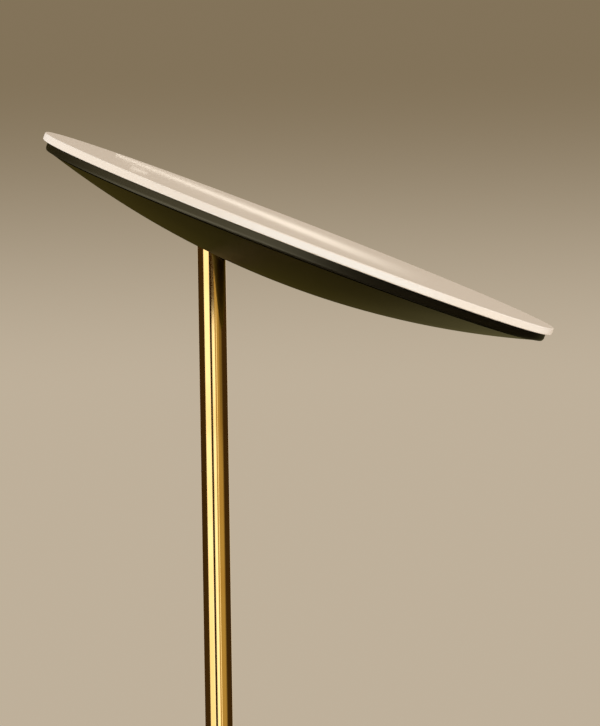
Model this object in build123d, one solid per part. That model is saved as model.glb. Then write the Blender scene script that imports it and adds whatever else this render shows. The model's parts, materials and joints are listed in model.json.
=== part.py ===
from build123d import *
import math
import os

# Floor lamp: a tilting disc head on a slim brass pole, which stands on a weighted round base.
# Millimetres, +Z up. The origin is on the floor, on the pole's axis.
# The head leans towards +X, its hinge runs along Y, and the dimmer button faces -Y.

# Clearances, each per side
OVERRUN = 2.0  # a cutting body runs this far past the face that it cuts
SLIP = 0.1  # round a plug, a sleeve or a screw in its hole
RUNNING = 0.05  # round the hinge bolt and beside each friction washer
SEAT_GAP = 0.3  # between a loosely held piece and its seat

# Pole
POLE_DIAMETER = 16.0
POLE_WALL = 1.2
LOWER_POLE_LENGTH = 556.0
MIDDLE_POLE_LENGTH = 540.0
UPPER_POLE_LENGTH = 580.0
COUPLER_LENGTH = 60.0
COUPLER_BORE = 8.0

# Lead inside the pole
LEAD_DIAMETER = 3.0
LEAD_BEND = 10.0
LEAD_SHIFT = 60.0  # length of pole in which the lead moves from the axis to the knuckle's groove
LEAD_SHIFT_BEND = 150.0

# Base
BASE_DIAMETER = 280.0
BASE_HEIGHT = 28.0
BASE_RIM_HEIGHT = 15.0
BASE_FLAT_DIAMETER = 40.0
BASE_SHEET = 1.2
BASE_EDGE_RADIUS = 1.0
FLOOR_PAD_THICKNESS = 2.0
FLOOR_PAD_INSET = 4.0
BASE_PLATE_THICKNESS = 2.0
WEIGHT_INSET = 10.0
WEIGHT_GAP = 0.8
WEIGHT_WEB = 4.8
NUT_WELL_DIAMETER = 26.0
GROOVE_WIDTH = 12.0
GROOVE_HEIGHT = 9.0
NIPPLE_DIAMETER = 10.0
NIPPLE_BORE = 7.0
NIPPLE_REACH = 26.0  # length of the nipple inside the pole
INSERT_LENGTH = 30.0
BASE_NUT_FLATS = 16.0
BASE_NUT_HEIGHT = 5.0
BASE_WASHER_DIAMETER = 22.0
BASE_WASHER_THICKNESS = 1.5
COLLAR_DIAMETER = 34.0
COLLAR_TOP_DIAMETER = 20.0
COLLAR_FOOT_HEIGHT = 2.5
COLLAR_HEIGHT = 10.0
PLATE_SCREW_DIAMETER = 4.0
PLATE_SCREW_HEAD = 7.0
PLATE_SCREW_LENGTH = 9.0
PLATE_SCREW_CIRCLE = 180.0
PLATE_SCREW_COUNT = 4
TERMINAL_LENGTH = 24.0
TERMINAL_WIDTH = 18.0
TERMINAL_HEIGHT = 10.0
TERMINAL_DISTANCE = 60.0  # from the pole's axis to the terminal block
TERMINAL_SCREW_DIAMETER = 4.0
TERMINAL_ROOM = 3.0  # round the terminal block in its pocket
GLAND_BORE = 6.0
GLAND_WALL = 1.0
GLAND_FLANGE = 0.9
GLAND_FLANGE_THICKNESS = 1.4
GLAND_INSIDE_LENGTH = 5.0

# Switch on the pole
SWITCH_DIAMETER = 26.0
SWITCH_WEB = 34.0  # between the two poles' ends
SWITCH_SOCKET = 18.0
SWITCH_EDGE_RADIUS = 2.0
SWITCH_COVER_WALL = 2.0
SWITCH_COVER_WIDTH = 18.6
SWITCH_COVER_HEIGHT = 44.0
SWITCH_POCKET_WIDTH = 16.0
SWITCH_POCKET_WALL = 1.0
SWITCH_PASSAGE = 8.0
SWITCH_PASSAGE_WALL = 0.6
DIMMER_BOARD_THICKNESS = 1.2
TACT_WIDTH = 6.0
TACT_BODY_HEIGHT = 1.1
TACT_STEM_DIAMETER = 3.4
BUTTON_DIAMETER = 9.0
BUTTON_FLANGE = 0.9
BUTTON_FLANGE_THICKNESS = 0.9
BUTTON_TRAVEL = 1.2
BUTTON_PROUD = 1.7
BUTTON_EDGE_RADIUS = 0.6
SET_SCREW_DIAMETER = 4.0
SET_SCREW_LENGTH = 4.4

# Head
HEAD_TILT = 22.0
HEAD_TILT_LIMIT = 35.0
HEAD_OFFSET = 46.9  # along the head, from the hinge to the head's axis
DIFFUSER_DIAMETER = 300.0
DIFFUSER_EDGE_HEIGHT = 4.0
DIFFUSER_WALL = 2.0
DIFFUSER_EDGE_RADIUS = 0.6
DIFFUSER_OVERHANG = 3.0
SKIRT_WALL = 2.5
DISH_RIM_HEIGHT = 4.1
DISH_DEPTH = 23.2  # from the rim's lower edge to the bowl's lowest point
DISH_SHEET = 1.0
DISH_EDGE_RADIUS = 0.8
SLOT_ROOM = 0.5
LINER_WALL = 0.8
LINER_FLANGE = 0.5
LINER_LIP = 0.6
CARRIER_THICKNESS = 1.5
CARRIER_EDGE_GAP = 1.5
BOSS_DIAMETER = 8.0
BOSS_COUNT = 4
BOARD_THICKNESS = 1.5
BOARD_INSET = 8.0
CHIP_WIDTH = 3.5
CHIP_HEIGHT = 0.8
CHIP_FIRST_RING = 26.0
CHIP_RING_STEP = 24.0
CHIP_SPACING = 22.0
REFLECTOR_THICKNESS = 0.8
REFLECTOR_EDGE_GAP = 1.2
CARRIER_SCREW_DIAMETER = 3.0
CARRIER_SCREW_HEAD = 5.6
CARRIER_SCREW_HEAD_HEIGHT = 1.8
CARRIER_SCREW_GRIP = 2.4  # length of thread in the boss

# Hinge
KNUCKLE_DIAMETER = 11.0
KNUCKLE_WIDTH = 16.0
KNUCKLE_DROP = 3.0  # from the hinge axis down to the pole's end
KNUCKLE_PLUG = 25.0
HINGE_BOLT_DIAMETER = 4.0
HINGE_BOLT_FLATS = 7.0
HINGE_BOLT_HEAD = 2.8
HINGE_BOLT_END = 1.0
HINGE_NUT_HEIGHT = 4.0
FRICTION_WASHER_DIAMETER = 9.0
FRICTION_WASHER_THICKNESS = 2.0
DISC_SPRING_DIAMETER = 9.0
DISC_SPRING_THICKNESS = 0.6
DISC_SPRING_RISE = 0.5
EAR_DIAMETER = 10.0
EAR_THICKNESS = 2.0
EAR_FLOOR_GAP = 0.4
EAR_FLANGE_LENGTH = 16.0
EAR_FLANGE_WIDTH = 20.0
EAR_SCREW_DIAMETER = 3.0
EAR_SCREW_HEAD = 5.6
EAR_SCREW_HEAD_HEIGHT = 1.8
EAR_SCREW_SPACING = 11.0
HINGE_HEADROOM = 1.0

# Driver under the carrier plate
DRIVER_DISTANCE = 25.0  # from the hinge axis to the driver's near end
DRIVER_LENGTH = 80.0
DRIVER_WIDTH = 36.0
DRIVER_HEIGHT = 9.0
DRIVER_WALL = 1.5
DRIVER_LEDGE = 1.5
DRIVER_BOARD_THICKNESS = 1.2
DRIVER_TAB_LENGTH = 9.0
DRIVER_TAB_WIDTH = 12.0
DRIVER_TERMINAL_LENGTH = 7.0
DRIVER_TERMINAL_GAP = 2.0
LED_LEAD_DIAMETER = 2.4
LED_LEAD_BEND = 3.0
LED_LEAD_DISTANCE = 8.0  # from the driver's far end to the hole that the lead goes up
LED_LEAD_RISE = 2.4  # above the board
LED_LEAD_RETURN = 5.5
LED_HOLE_ROOM = 0.9  # round the lead, which still bends in its hole
CONNECTOR_LENGTH = 6.5
CONNECTOR_WIDTH = 8.0
CONNECTOR_HEIGHT = 4.4

# Shares of the pieces that they shape
RECESS_SHARE = 0.45  # driving recess across flats, of the screw head
RECESS_DEPTH_SHARE = 0.6  # of the screw head's height
GRIP_SHARE = 0.96  # of the longest bend that fits
# Parts on the driver's board: place along and across it, then length, width and height
COMPONENT_SHARES = [
    (0.34, 0.30, 0.20, 0.46, 0.92),
    (0.56, 0.66, 0.16, 0.40, 0.85),
    (0.74, 0.32, 0.14, 0.36, 0.70),
]

# Derived sizes of the pole and the base
POLE_RADIUS = POLE_DIAMETER / 2
POLE_BORE_RADIUS = POLE_RADIUS - POLE_WALL
PLUG_RADIUS = POLE_BORE_RADIUS - SLIP
LEAD_RADIUS = LEAD_DIAMETER / 2
BASE_RADIUS = BASE_DIAMETER / 2
FLAT_RADIUS = BASE_FLAT_DIAMETER / 2
DOME_RUN = BASE_RADIUS - FLAT_RADIUS
DOME_DROP = BASE_HEIGHT - BASE_RIM_HEIGHT
DOME_RADIUS = (DOME_RUN**2 + DOME_DROP**2) / (2 * DOME_DROP)
PLATE_TOP = FLOOR_PAD_THICKNESS + BASE_PLATE_THICKNESS
WEIGHT_RADIUS = BASE_RADIUS - BASE_SHEET - WEIGHT_INSET
COVER_UNDERSIDE = BASE_HEIGHT - BASE_SHEET
NUT_WELL_TOP = COVER_UNDERSIDE - WEIGHT_WEB
NUT_TOP = NUT_WELL_TOP - BASE_WASHER_THICKNESS
NIPPLE_RADIUS = NIPPLE_DIAMETER / 2
LEAD_FLOOR = PLATE_TOP + GROOVE_HEIGHT / 2
TERMINAL_START = TERMINAL_DISTANCE
TERMINAL_END = TERMINAL_START + TERMINAL_LENGTH
GLAND_NECK_RADIUS = GLAND_BORE / 2 + GLAND_WALL
GLAND_RADIUS = GLAND_NECK_RADIUS + GLAND_FLANGE
GLAND_LEVEL = PLATE_TOP + SEAT_GAP + GLAND_RADIUS

# Derived levels of the pole
LOWER_POLE_TOP = BASE_HEIGHT + LOWER_POLE_LENGTH
MIDDLE_POLE_TOP = LOWER_POLE_TOP + MIDDLE_POLE_LENGTH
SWITCH_LEVEL = MIDDLE_POLE_TOP + SWITCH_WEB / 2
UPPER_POLE_BOTTOM = MIDDLE_POLE_TOP + SWITCH_WEB
UPPER_POLE_TOP = UPPER_POLE_BOTTOM + UPPER_POLE_LENGTH
HINGE_LEVEL = UPPER_POLE_TOP + KNUCKLE_DROP

# Derived places in the switch, as distances from the pole's axis towards -Y
SWITCH_RADIUS = SWITCH_DIAMETER / 2
COVER_SEAT_RADIUS = SWITCH_RADIUS - SWITCH_COVER_WALL
POCKET_FLOOR = SWITCH_PASSAGE / 2 + SWITCH_PASSAGE_WALL
BOARD_BACK = POCKET_FLOOR + SLIP
BOARD_FRONT = BOARD_BACK + DIMMER_BOARD_THICKNESS
BUTTON_RADIUS = BUTTON_DIAMETER / 2
BUTTON_STOP = math.sqrt(COVER_SEAT_RADIUS**2 - (BUTTON_RADIUS + BUTTON_FLANGE) ** 2) - RUNNING
BUTTON_BACK = BUTTON_STOP - BUTTON_FLANGE_THICKNESS
TACT_FRONT = BUTTON_BACK - BUTTON_TRAVEL - RUNNING
POCKET_HEIGHT = SWITCH_WEB - 2 * SWITCH_POCKET_WALL

# Derived levels of the head, down from the top of the diffuser on the head's axis
DISH_RADIUS = DIFFUSER_DIAMETER / 2 - DIFFUSER_OVERHANG
DISH_TOP = -DIFFUSER_EDGE_HEIGHT
RIM_BOTTOM = DISH_TOP - DISH_RIM_HEIGHT
DISH_BOTTOM = RIM_BOTTOM - DISH_DEPTH
BOWL_RADIUS = (DISH_RADIUS**2 + DISH_DEPTH**2) / (2 * DISH_DEPTH)
BOWL_CENTRE = DISH_BOTTOM + BOWL_RADIUS
EAR_RADIUS = EAR_DIAMETER / 2
EAR_INNER = KNUCKLE_WIDTH / 2 + FRICTION_WASHER_THICKNESS + 2 * RUNNING
EAR_OUTER = EAR_INNER + EAR_THICKNESS
KNUCKLE_RADIUS = KNUCKLE_DIAMETER / 2


def bowl_level(radius, inset):
    """Level of the bowl's surface, moved inwards by inset, at a radius from the head's axis."""
    return BOWL_CENTRE - math.sqrt((BOWL_RADIUS - inset) ** 2 - radius**2)


def bowl_reach(level, inset):
    """Radius at which the bowl's surface, moved inwards by inset, comes to a level."""
    return math.sqrt((BOWL_RADIUS - inset) ** 2 - (BOWL_CENTRE - level) ** 2)


EAR_REACH = math.hypot(HEAD_OFFSET + EAR_RADIUS, EAR_OUTER)
PIVOT_LEVEL = bowl_level(EAR_REACH, DISH_SHEET) + EAR_FLOOR_GAP + EAR_RADIUS
CARRIER_BOTTOM = PIVOT_LEVEL + KNUCKLE_RADIUS + HINGE_HEADROOM
CARRIER_TOP = CARRIER_BOTTOM + CARRIER_THICKNESS
CARRIER_RADIUS = bowl_reach(CARRIER_BOTTOM, DISH_SHEET) - CARRIER_EDGE_GAP
BOARD_TOP = CARRIER_TOP + BOARD_THICKNESS
BOARD_RADIUS = CARRIER_RADIUS - BOARD_INSET
BOSS_CIRCLE_RADIUS = BOARD_RADIUS - BOSS_DIAMETER / 2
SKIRT_OUTER = DISH_RADIUS - DISH_SHEET - SEAT_GAP
SKIRT_INNER = SKIRT_OUTER - SKIRT_WALL
SKIRT_BOTTOM = bowl_level(SKIRT_OUTER, DISH_SHEET) + SEAT_GAP

# Derived places of the slot, the driver and the leads, from the hinge axis along the head
TILT_LIMIT = math.radians(HEAD_TILT_LIMIT)
SLOT_BACK = POLE_RADIUS + SLOT_ROOM
SLOT_LEAN = (PIVOT_LEVEL - DISH_BOTTOM) * math.tan(TILT_LIMIT)
SLOT_REACH = SLOT_LEAN + POLE_RADIUS / math.cos(TILT_LIMIT) + SLOT_ROOM
SLOT_LENGTH = SLOT_BACK + SLOT_REACH
SLOT_WIDTH = POLE_DIAMETER + 2 * SLOT_ROOM
DRIVER_START = DRIVER_DISTANCE - HEAD_OFFSET
DRIVER_END = DRIVER_START + DRIVER_LENGTH
DRIVER_BOTTOM = CARRIER_BOTTOM - DRIVER_HEIGHT
DRIVER_BOARD_TOP = DRIVER_BOTTOM + DRIVER_WALL + DRIVER_LEDGE + DRIVER_BOARD_THICKNESS
COMPONENT_ROOM = CARRIER_BOTTOM - DRIVER_BOARD_TOP - SEAT_GAP
INPUT_TERMINAL = DRIVER_START + DRIVER_WALL + DRIVER_TERMINAL_GAP
OUTPUT_TERMINAL = DRIVER_END - DRIVER_WALL - DRIVER_TERMINAL_GAP
LEAD_LEVEL = CARRIER_BOTTOM - SEAT_GAP - LEAD_RADIUS
LED_LEAD_LEVEL = CARRIER_BOTTOM - SEAT_GAP - LED_LEAD_DIAMETER / 2
LED_HOLE = DRIVER_END + LED_LEAD_DISTANCE
CONNECTOR_FACE = LED_HOLE - LED_LEAD_RETURN
GROOVE_LEAD = POLE_BORE_RADIUS - 2 * SLIP - LEAD_RADIUS
GROOVE_FLOOR = GROOVE_LEAD - LEAD_RADIUS - 2 * SLIP

# Frames: the hinge frame lies on the hinge axis and tilts with the head
HINGE_FRAME = Pos(0, 0, HINGE_LEVEL) * Rot(0, HEAD_TILT, 0)
HEAD_FRAME = HINGE_FRAME * Pos(HEAD_OFFSET, 0, -PIVOT_LEVEL)
TO_PIVOT = Pos(-HEAD_OFFSET, 0, PIVOT_LEVEL)
ALONG_Y = Rot(-90, 0, 0)
ALONG_MINUS_Y = Rot(90, 0, 0)
UPSIDE_DOWN = Rot(180, 0, 0)
ON_XY = (Align.CENTER, Align.CENTER, Align.MIN)


def barrel(radius, bottom, top):
    """Upright cylinder between two levels on the Z axis."""
    return Pos(0, 0, bottom) * Cylinder(radius, top - bottom, align=ON_XY)


def tube(outer, inner, bottom, top):
    """Upright tube between two levels on the Z axis."""
    return barrel(outer, bottom, top) - barrel(inner, bottom - OVERRUN, top + OVERRUN)


def block(x_range, y_range, z_range):
    """Box between two limits along each axis."""
    ranges = (x_range, y_range, z_range)
    middle = [(low + high) / 2 for low, high in ranges]
    sides = [high - low for low, high in ranges]
    return Pos(*middle) * Box(*sides)


def turned(outline, *rounded_corners):
    """Solid turned about Z from an outline of radii and levels, with corners rounded as (place, radius)."""
    face = make_face(outline.edges())
    for corner, radius in rounded_corners:
        face = fillet(face.vertices().sort_by_distance(corner)[0:1], radius)
    return revolve(Plane.XZ * face, Axis.Z)


def prism(flats, sides, height):
    """Upright prism on the XY plane, sized across its flats."""
    return extrude(RegularPolygon(flats / 2, sides, major_radius=False), height)


def round_bar(path, radius):
    """Round bar along a path."""
    return sweep(Plane(origin=path @ 0, z_dir=path % 0) * Circle(radius), path=path)


def ring_of(count, radius, start_angle=0):
    """Places evenly round the Z axis."""
    step = 360 / count
    return [Rot(0, 0, start_angle + step * index) * Pos(radius, 0, 0) for index in range(count)]


def pan_screw(diameter, head, head_height, length):
    """Screw with its seat on the XY plane, its head above and its shank below."""
    screw = barrel(head / 2, 0, head_height) + barrel(diameter / 2, -length, 0)
    recess = prism(head * RECESS_SHARE, 6, head_height + OVERRUN)
    return screw - Pos(0, 0, head_height * (1 - RECESS_DEPTH_SHARE)) * recess


def flat_screw(diameter, head, length):
    """Countersunk screw with its flat top on the XY plane and its shank below."""
    depth = (head - diameter) / 2
    cone = Pos(0, 0, -depth) * Cone(diameter / 2, head / 2, depth, align=ON_XY)
    recess = prism(head * RECESS_SHARE, 6, depth + OVERRUN)
    return cone + barrel(diameter / 2, -length, -depth) - Pos(0, 0, -depth * RECESS_DEPTH_SHARE) * recess


def dome_level(radius, inset):
    """Level of the base's dome, moved inwards by inset, at a radius from the pole's axis."""
    run = radius - FLAT_RADIUS
    return BASE_HEIGHT - DOME_RADIUS + math.sqrt((DOME_RADIUS - inset) ** 2 - run**2)


def dome_outline(radius, inset, bottom):
    """Closed outline of the domed base inside a radius, moved inwards by inset."""
    middle = (radius + FLAT_RADIUS) / 2
    edge = (radius, dome_level(radius, inset))
    crown = (FLAT_RADIUS, BASE_HEIGHT - inset)
    arc = ThreePointArc(edge, (middle, dome_level(middle, inset)), crown)
    side = Polyline((0, bottom), (radius, bottom), edge)
    return side + arc + Polyline(crown, (0, BASE_HEIGHT - inset), (0, bottom))


def base_cover():
    """Domed sheet cover with a hole for the nipple and one for the cord gland."""
    outside = dome_outline(BASE_RADIUS, 0, FLOOR_PAD_THICKNESS)
    inside = dome_outline(BASE_RADIUS - BASE_SHEET, BASE_SHEET, FLOOR_PAD_THICKNESS - OVERRUN)
    rim = (BASE_RADIUS, BASE_RIM_HEIGHT)
    shell = turned(outside, (rim, BASE_EDGE_RADIUS)) - turned(inside)
    gland_hole = barrel(GLAND_NECK_RADIUS + SLIP, BASE_RADIUS - WEIGHT_INSET, BASE_RADIUS + OVERRUN)
    shell -= Pos(0, 0, GLAND_LEVEL) * ALONG_Y * gland_hole
    return shell - barrel(NIPPLE_RADIUS + SLIP, BASE_HEIGHT - BASE_SHEET - OVERRUN, BASE_HEIGHT + OVERRUN)


def base_weight():
    """Cast weight under the dome, with a nut well, a cord groove and a pocket for the terminal block."""
    body = turned(dome_outline(WEIGHT_RADIUS, BASE_SHEET + WEIGHT_GAP, PLATE_TOP))
    body += barrel(FLAT_RADIUS, PLATE_TOP, COVER_UNDERSIDE)
    body -= barrel(NUT_WELL_DIAMETER / 2, PLATE_TOP - OVERRUN, NUT_WELL_TOP)
    body -= barrel(NIPPLE_RADIUS + SLIP, PLATE_TOP, BASE_HEIGHT)
    half_groove = GROOVE_WIDTH / 2
    groove_z = (PLATE_TOP - OVERRUN, PLATE_TOP + GROOVE_HEIGHT)
    body -= block((-half_groove, half_groove), (0, WEIGHT_RADIUS + OVERRUN), groove_z)
    half_pocket = TERMINAL_WIDTH / 2 + TERMINAL_ROOM
    pocket_y = (TERMINAL_START - TERMINAL_ROOM, TERMINAL_END + TERMINAL_ROOM)
    pocket_z = (PLATE_TOP - OVERRUN, PLATE_TOP + TERMINAL_HEIGHT + SEAT_GAP)
    body -= block((-half_pocket, half_pocket), pocket_y, pocket_z)
    screw_end = FLOOR_PAD_THICKNESS + PLATE_SCREW_LENGTH
    hole = barrel(PLATE_SCREW_DIAMETER / 2 + SLIP, PLATE_TOP - OVERRUN, screw_end + SLIP)
    for place in plate_screw_places():
        body -= place * hole
    return body


def plate_screw_places():
    """Places of the base plate's screws, clear of the cord's groove."""
    return ring_of(PLATE_SCREW_COUNT, PLATE_SCREW_CIRCLE / 2, 180 / PLATE_SCREW_COUNT)


def base_plate():
    """Steel plate that closes the base, with countersunk screw holes."""
    plate = barrel(BASE_RADIUS - BASE_SHEET - SEAT_GAP, FLOOR_PAD_THICKNESS, PLATE_TOP)
    wide = PLATE_SCREW_HEAD / 2 + SLIP
    depth = wide - PLATE_SCREW_DIAMETER / 2 - SLIP
    sink = Cone(wide, wide - depth, depth, align=ON_XY)
    hole = barrel(PLATE_SCREW_DIAMETER / 2 + SLIP, 0, PLATE_TOP + OVERRUN)
    for place in plate_screw_places():
        plate -= place * (Pos(0, 0, FLOOR_PAD_THICKNESS) * sink + hole)
    return plate


def plate_screws():
    """Countersunk screws that hold the base plate to the weight."""
    screw = UPSIDE_DOWN * flat_screw(PLATE_SCREW_DIAMETER, PLATE_SCREW_HEAD, PLATE_SCREW_LENGTH)
    return [place * Pos(0, 0, FLOOR_PAD_THICKNESS) * screw for place in plate_screw_places()]


def floor_pad():
    """Soft disc that the lamp stands on."""
    return barrel(BASE_RADIUS - FLOOR_PAD_INSET, 0, FLOOR_PAD_THICKNESS)


def base_nipple():
    """Threaded tube that ties the weight, the cover and the pole together."""
    bottom = NUT_TOP - BASE_NUT_HEIGHT - SLIP
    return tube(NIPPLE_RADIUS, NIPPLE_BORE / 2, bottom, BASE_HEIGHT + NIPPLE_REACH)


def base_nut():
    """Hexagon nut under the weight's web."""
    nut = Pos(0, 0, NUT_TOP - BASE_NUT_HEIGHT) * prism(BASE_NUT_FLATS, 6, BASE_NUT_HEIGHT)
    return nut - barrel(NIPPLE_RADIUS + SLIP, NUT_TOP - BASE_NUT_HEIGHT - OVERRUN, NUT_TOP + OVERRUN)


def base_washer():
    """Washer between the nut and the weight's web."""
    return tube(BASE_WASHER_DIAMETER / 2, NIPPLE_RADIUS + SLIP, NUT_TOP, NUT_WELL_TOP)


def base_collar():
    """Turned collar round the pole's foot."""
    bore = POLE_RADIUS + SLIP
    foot = (COLLAR_DIAMETER / 2, BASE_HEIGHT + COLLAR_FOOT_HEIGHT)
    top = (COLLAR_TOP_DIAMETER / 2, BASE_HEIGHT + COLLAR_HEIGHT)
    start = Polyline((bore, BASE_HEIGHT), (COLLAR_DIAMETER / 2, BASE_HEIGHT), foot)
    curve = TangentArc(foot, top, tangent=(-1, 0))
    return turned(start + curve + Polyline(top, (bore, BASE_HEIGHT + COLLAR_HEIGHT), (bore, BASE_HEIGHT)))


def cord_gland():
    """Bush in the cover's rim that the mains cord goes through, facing +Y."""
    seat = math.sqrt((BASE_RADIUS - BASE_SHEET) ** 2 - GLAND_RADIUS**2) - SLIP
    inner_end = seat - GLAND_INSIDE_LENGTH
    outer_end = BASE_RADIUS + GLAND_FLANGE_THICKNESS
    bush = barrel(GLAND_NECK_RADIUS, inner_end, outer_end)
    bush += barrel(GLAND_RADIUS, BASE_RADIUS, outer_end)
    bush += barrel(GLAND_RADIUS, seat - GLAND_FLANGE_THICKNESS, seat)
    bush -= barrel(GLAND_BORE / 2, inner_end - OVERRUN, outer_end + OVERRUN)
    return Pos(0, 0, GLAND_LEVEL) * ALONG_Y * bush


def terminal_block():
    """Terminal block in the base, with a clamp screw hole for each core at both ends."""
    half = TERMINAL_WIDTH / 2
    top = PLATE_TOP + TERMINAL_HEIGHT
    body = block((-half, half), (TERMINAL_START, TERMINAL_END), (PLATE_TOP, top))
    well = barrel(TERMINAL_SCREW_DIAMETER / 2, top - TERMINAL_SCREW_DIAMETER / 2, top + OVERRUN)
    for x in (-half / 2, half / 2):
        for y in (TERMINAL_START + TERMINAL_LENGTH / 4, TERMINAL_END - TERMINAL_LENGTH / 4):
            body -= Pos(x, y, 0) * well
    return body


def pole_lead():
    """Lead from the terminal block through the base and the pole to the knuckle."""
    shift_top = UPPER_POLE_TOP - KNUCKLE_PLUG - LEAD_DIAMETER
    route = [
        (0, TERMINAL_START, LEAD_FLOOR),
        (0, 0, LEAD_FLOOR),
        (0, 0, shift_top - LEAD_SHIFT),
        (GROOVE_LEAD, 0, shift_top),
        (GROOVE_LEAD, 0, UPPER_POLE_TOP),
    ]
    path = FilletPolyline(*route, radius=[LEAD_BEND, LEAD_SHIFT_BEND, LEAD_SHIFT_BEND])
    return round_bar(path, LEAD_RADIUS)


def pole(bottom, length):
    """One tube of the pole."""
    return tube(POLE_RADIUS, POLE_BORE_RADIUS, bottom, bottom + length)


def pole_coupler():
    """Sleeve inside the pole that joins its lower two tubes."""
    half = COUPLER_LENGTH / 2
    return tube(PLUG_RADIUS, COUPLER_BORE / 2, LOWER_POLE_TOP - half, LOWER_POLE_TOP + half)


def pole_insert():
    """Threaded insert in the pole's foot."""
    return tube(PLUG_RADIUS, NIPPLE_RADIUS + SLIP, BASE_HEIGHT, BASE_HEIGHT + INSERT_LENGTH)


def switch_housing():
    """Housing that joins the upper two pole tubes, with a pocket for the switch behind a front cover."""
    half = SWITCH_WEB / 2 + SWITCH_SOCKET
    body = barrel(SWITCH_RADIUS, -half, half)
    body = fillet(body.edges().filter_by(GeomType.CIRCLE), SWITCH_EDGE_RADIUS)
    body -= barrel(SWITCH_PASSAGE / 2, -half, half)
    for low, high in ((-half - OVERRUN, -SWITCH_WEB / 2), (SWITCH_WEB / 2, half + OVERRUN)):
        body -= barrel(POLE_RADIUS + SLIP, low, high)
    half_pocket = SWITCH_POCKET_WIDTH / 2
    pocket_y = (-SWITCH_RADIUS - OVERRUN, -POCKET_FLOOR)
    body -= block((-half_pocket, half_pocket), pocket_y, (-POCKET_HEIGHT / 2, POCKET_HEIGHT / 2))
    body -= cover_blank(SLIP, OVERRUN)
    hole = ALONG_Y * barrel(SET_SCREW_DIAMETER / 2 + SLIP, 0, SWITCH_RADIUS + OVERRUN)
    for level in set_screw_levels():
        body -= Pos(0, 0, level) * hole
    return Pos(0, 0, SWITCH_LEVEL) * body


def set_screw_levels():
    """Levels of the two set screws, from the middle of the switch."""
    level = (SWITCH_WEB + SWITCH_SOCKET) / 2
    return (-level, level)


def cover_blank(grow, proud):
    """Curved plate of the switch's front cover, grown at its sides and outwards."""
    half_width = SWITCH_COVER_WIDTH / 2 + grow
    half_height = SWITCH_COVER_HEIGHT / 2 + grow
    shell = tube(SWITCH_RADIUS + proud, COVER_SEAT_RADIUS, -half_height, half_height)
    front = (-SWITCH_RADIUS - proud - OVERRUN, 0)
    return shell & block((-half_width, half_width), front, (-half_height, half_height))


def switch_cover():
    """Front cover of the switch with the button's hole."""
    hole = ALONG_MINUS_Y * barrel(BUTTON_RADIUS + SLIP, 0, SWITCH_RADIUS + OVERRUN)
    return Pos(0, 0, SWITCH_LEVEL) * (cover_blank(0, 0) - hole)


def dimmer_board():
    """Circuit board at the back of the switch's pocket."""
    half_width = SWITCH_POCKET_WIDTH / 2 - SLIP
    half_height = POCKET_HEIGHT / 2 - SLIP
    return Pos(0, 0, SWITCH_LEVEL) * block(
        (-half_width, half_width), (-BOARD_FRONT, -BOARD_BACK), (-half_height, half_height)
    )


def tact_switch():
    """Push switch on the dimmer board."""
    half = TACT_WIDTH / 2
    body_front = BOARD_FRONT + TACT_BODY_HEIGHT
    body = block((-half, half), (-body_front, -BOARD_FRONT), (-half, half))
    stem = ALONG_MINUS_Y * barrel(TACT_STEM_DIAMETER / 2, body_front, TACT_FRONT)
    return Pos(0, 0, SWITCH_LEVEL) * (body + stem)


def dimmer_button():
    """Round push button with a flange behind the cover."""
    cap = barrel(BUTTON_RADIUS, BUTTON_BACK, SWITCH_RADIUS + BUTTON_PROUD)
    cap = fillet(cap.edges().filter_by(GeomType.CIRCLE).sort_by(Axis.Z)[-1:], BUTTON_EDGE_RADIUS)
    cap += barrel(BUTTON_RADIUS + BUTTON_FLANGE, BUTTON_BACK, BUTTON_STOP)
    return Pos(0, 0, SWITCH_LEVEL) * ALONG_MINUS_Y * cap


def set_screws():
    """Set screws at the back of the switch that hold the pole tubes."""
    tip = POLE_RADIUS + RUNNING
    recess_depth = SET_SCREW_LENGTH / 2
    screw = barrel(SET_SCREW_DIAMETER / 2, tip, tip + SET_SCREW_LENGTH)
    recess = prism(SET_SCREW_DIAMETER * RECESS_SHARE, 6, recess_depth + OVERRUN)
    screw = ALONG_Y * (screw - Pos(0, 0, tip + SET_SCREW_LENGTH - recess_depth) * recess)
    return [Pos(0, 0, SWITCH_LEVEL + level) * screw for level in set_screw_levels()]


def hinge_knuckle():
    """Knuckle plugged into the pole's top, with a groove for the lead."""
    half_width = KNUCKLE_WIDTH / 2
    x_range = (-KNUCKLE_RADIUS, KNUCKLE_RADIUS)
    y_range = (-half_width, half_width)
    body = barrel(PLUG_RADIUS, -KNUCKLE_DROP - KNUCKLE_PLUG, -KNUCKLE_DROP)
    body += block(x_range, y_range, (-KNUCKLE_DROP, 0)) & barrel(POLE_RADIUS, -KNUCKLE_DROP, 0)
    body += (ALONG_Y * barrel(KNUCKLE_RADIUS, *y_range)) & block(x_range, y_range, (0, KNUCKLE_RADIUS))
    body -= ALONG_Y * barrel(HINGE_BOLT_DIAMETER / 2 + RUNNING, -half_width - OVERRUN, half_width + OVERRUN)
    half_groove = LEAD_RADIUS + 2 * SLIP
    groove_z = (-KNUCKLE_DROP - KNUCKLE_PLUG - OVERRUN, KNUCKLE_RADIUS + OVERRUN)
    body -= block((GROOVE_FLOOR, POLE_RADIUS), (-half_groove, half_groove), groove_z)
    return Pos(0, 0, HINGE_LEVEL) * body


def slot_prism(grow):
    """Upright prism through the bowl with the slot's outline, grown outwards."""
    outline = SlotOverall(SLOT_LENGTH + 2 * grow, SLOT_WIDTH + 2 * grow)
    middle = (SLOT_REACH - SLOT_BACK) / 2 - HEAD_OFFSET
    return Pos(middle, 0, DISH_BOTTOM - OVERRUN) * extrude(outline, PIVOT_LEVEL - DISH_BOTTOM + OVERRUN)


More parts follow.
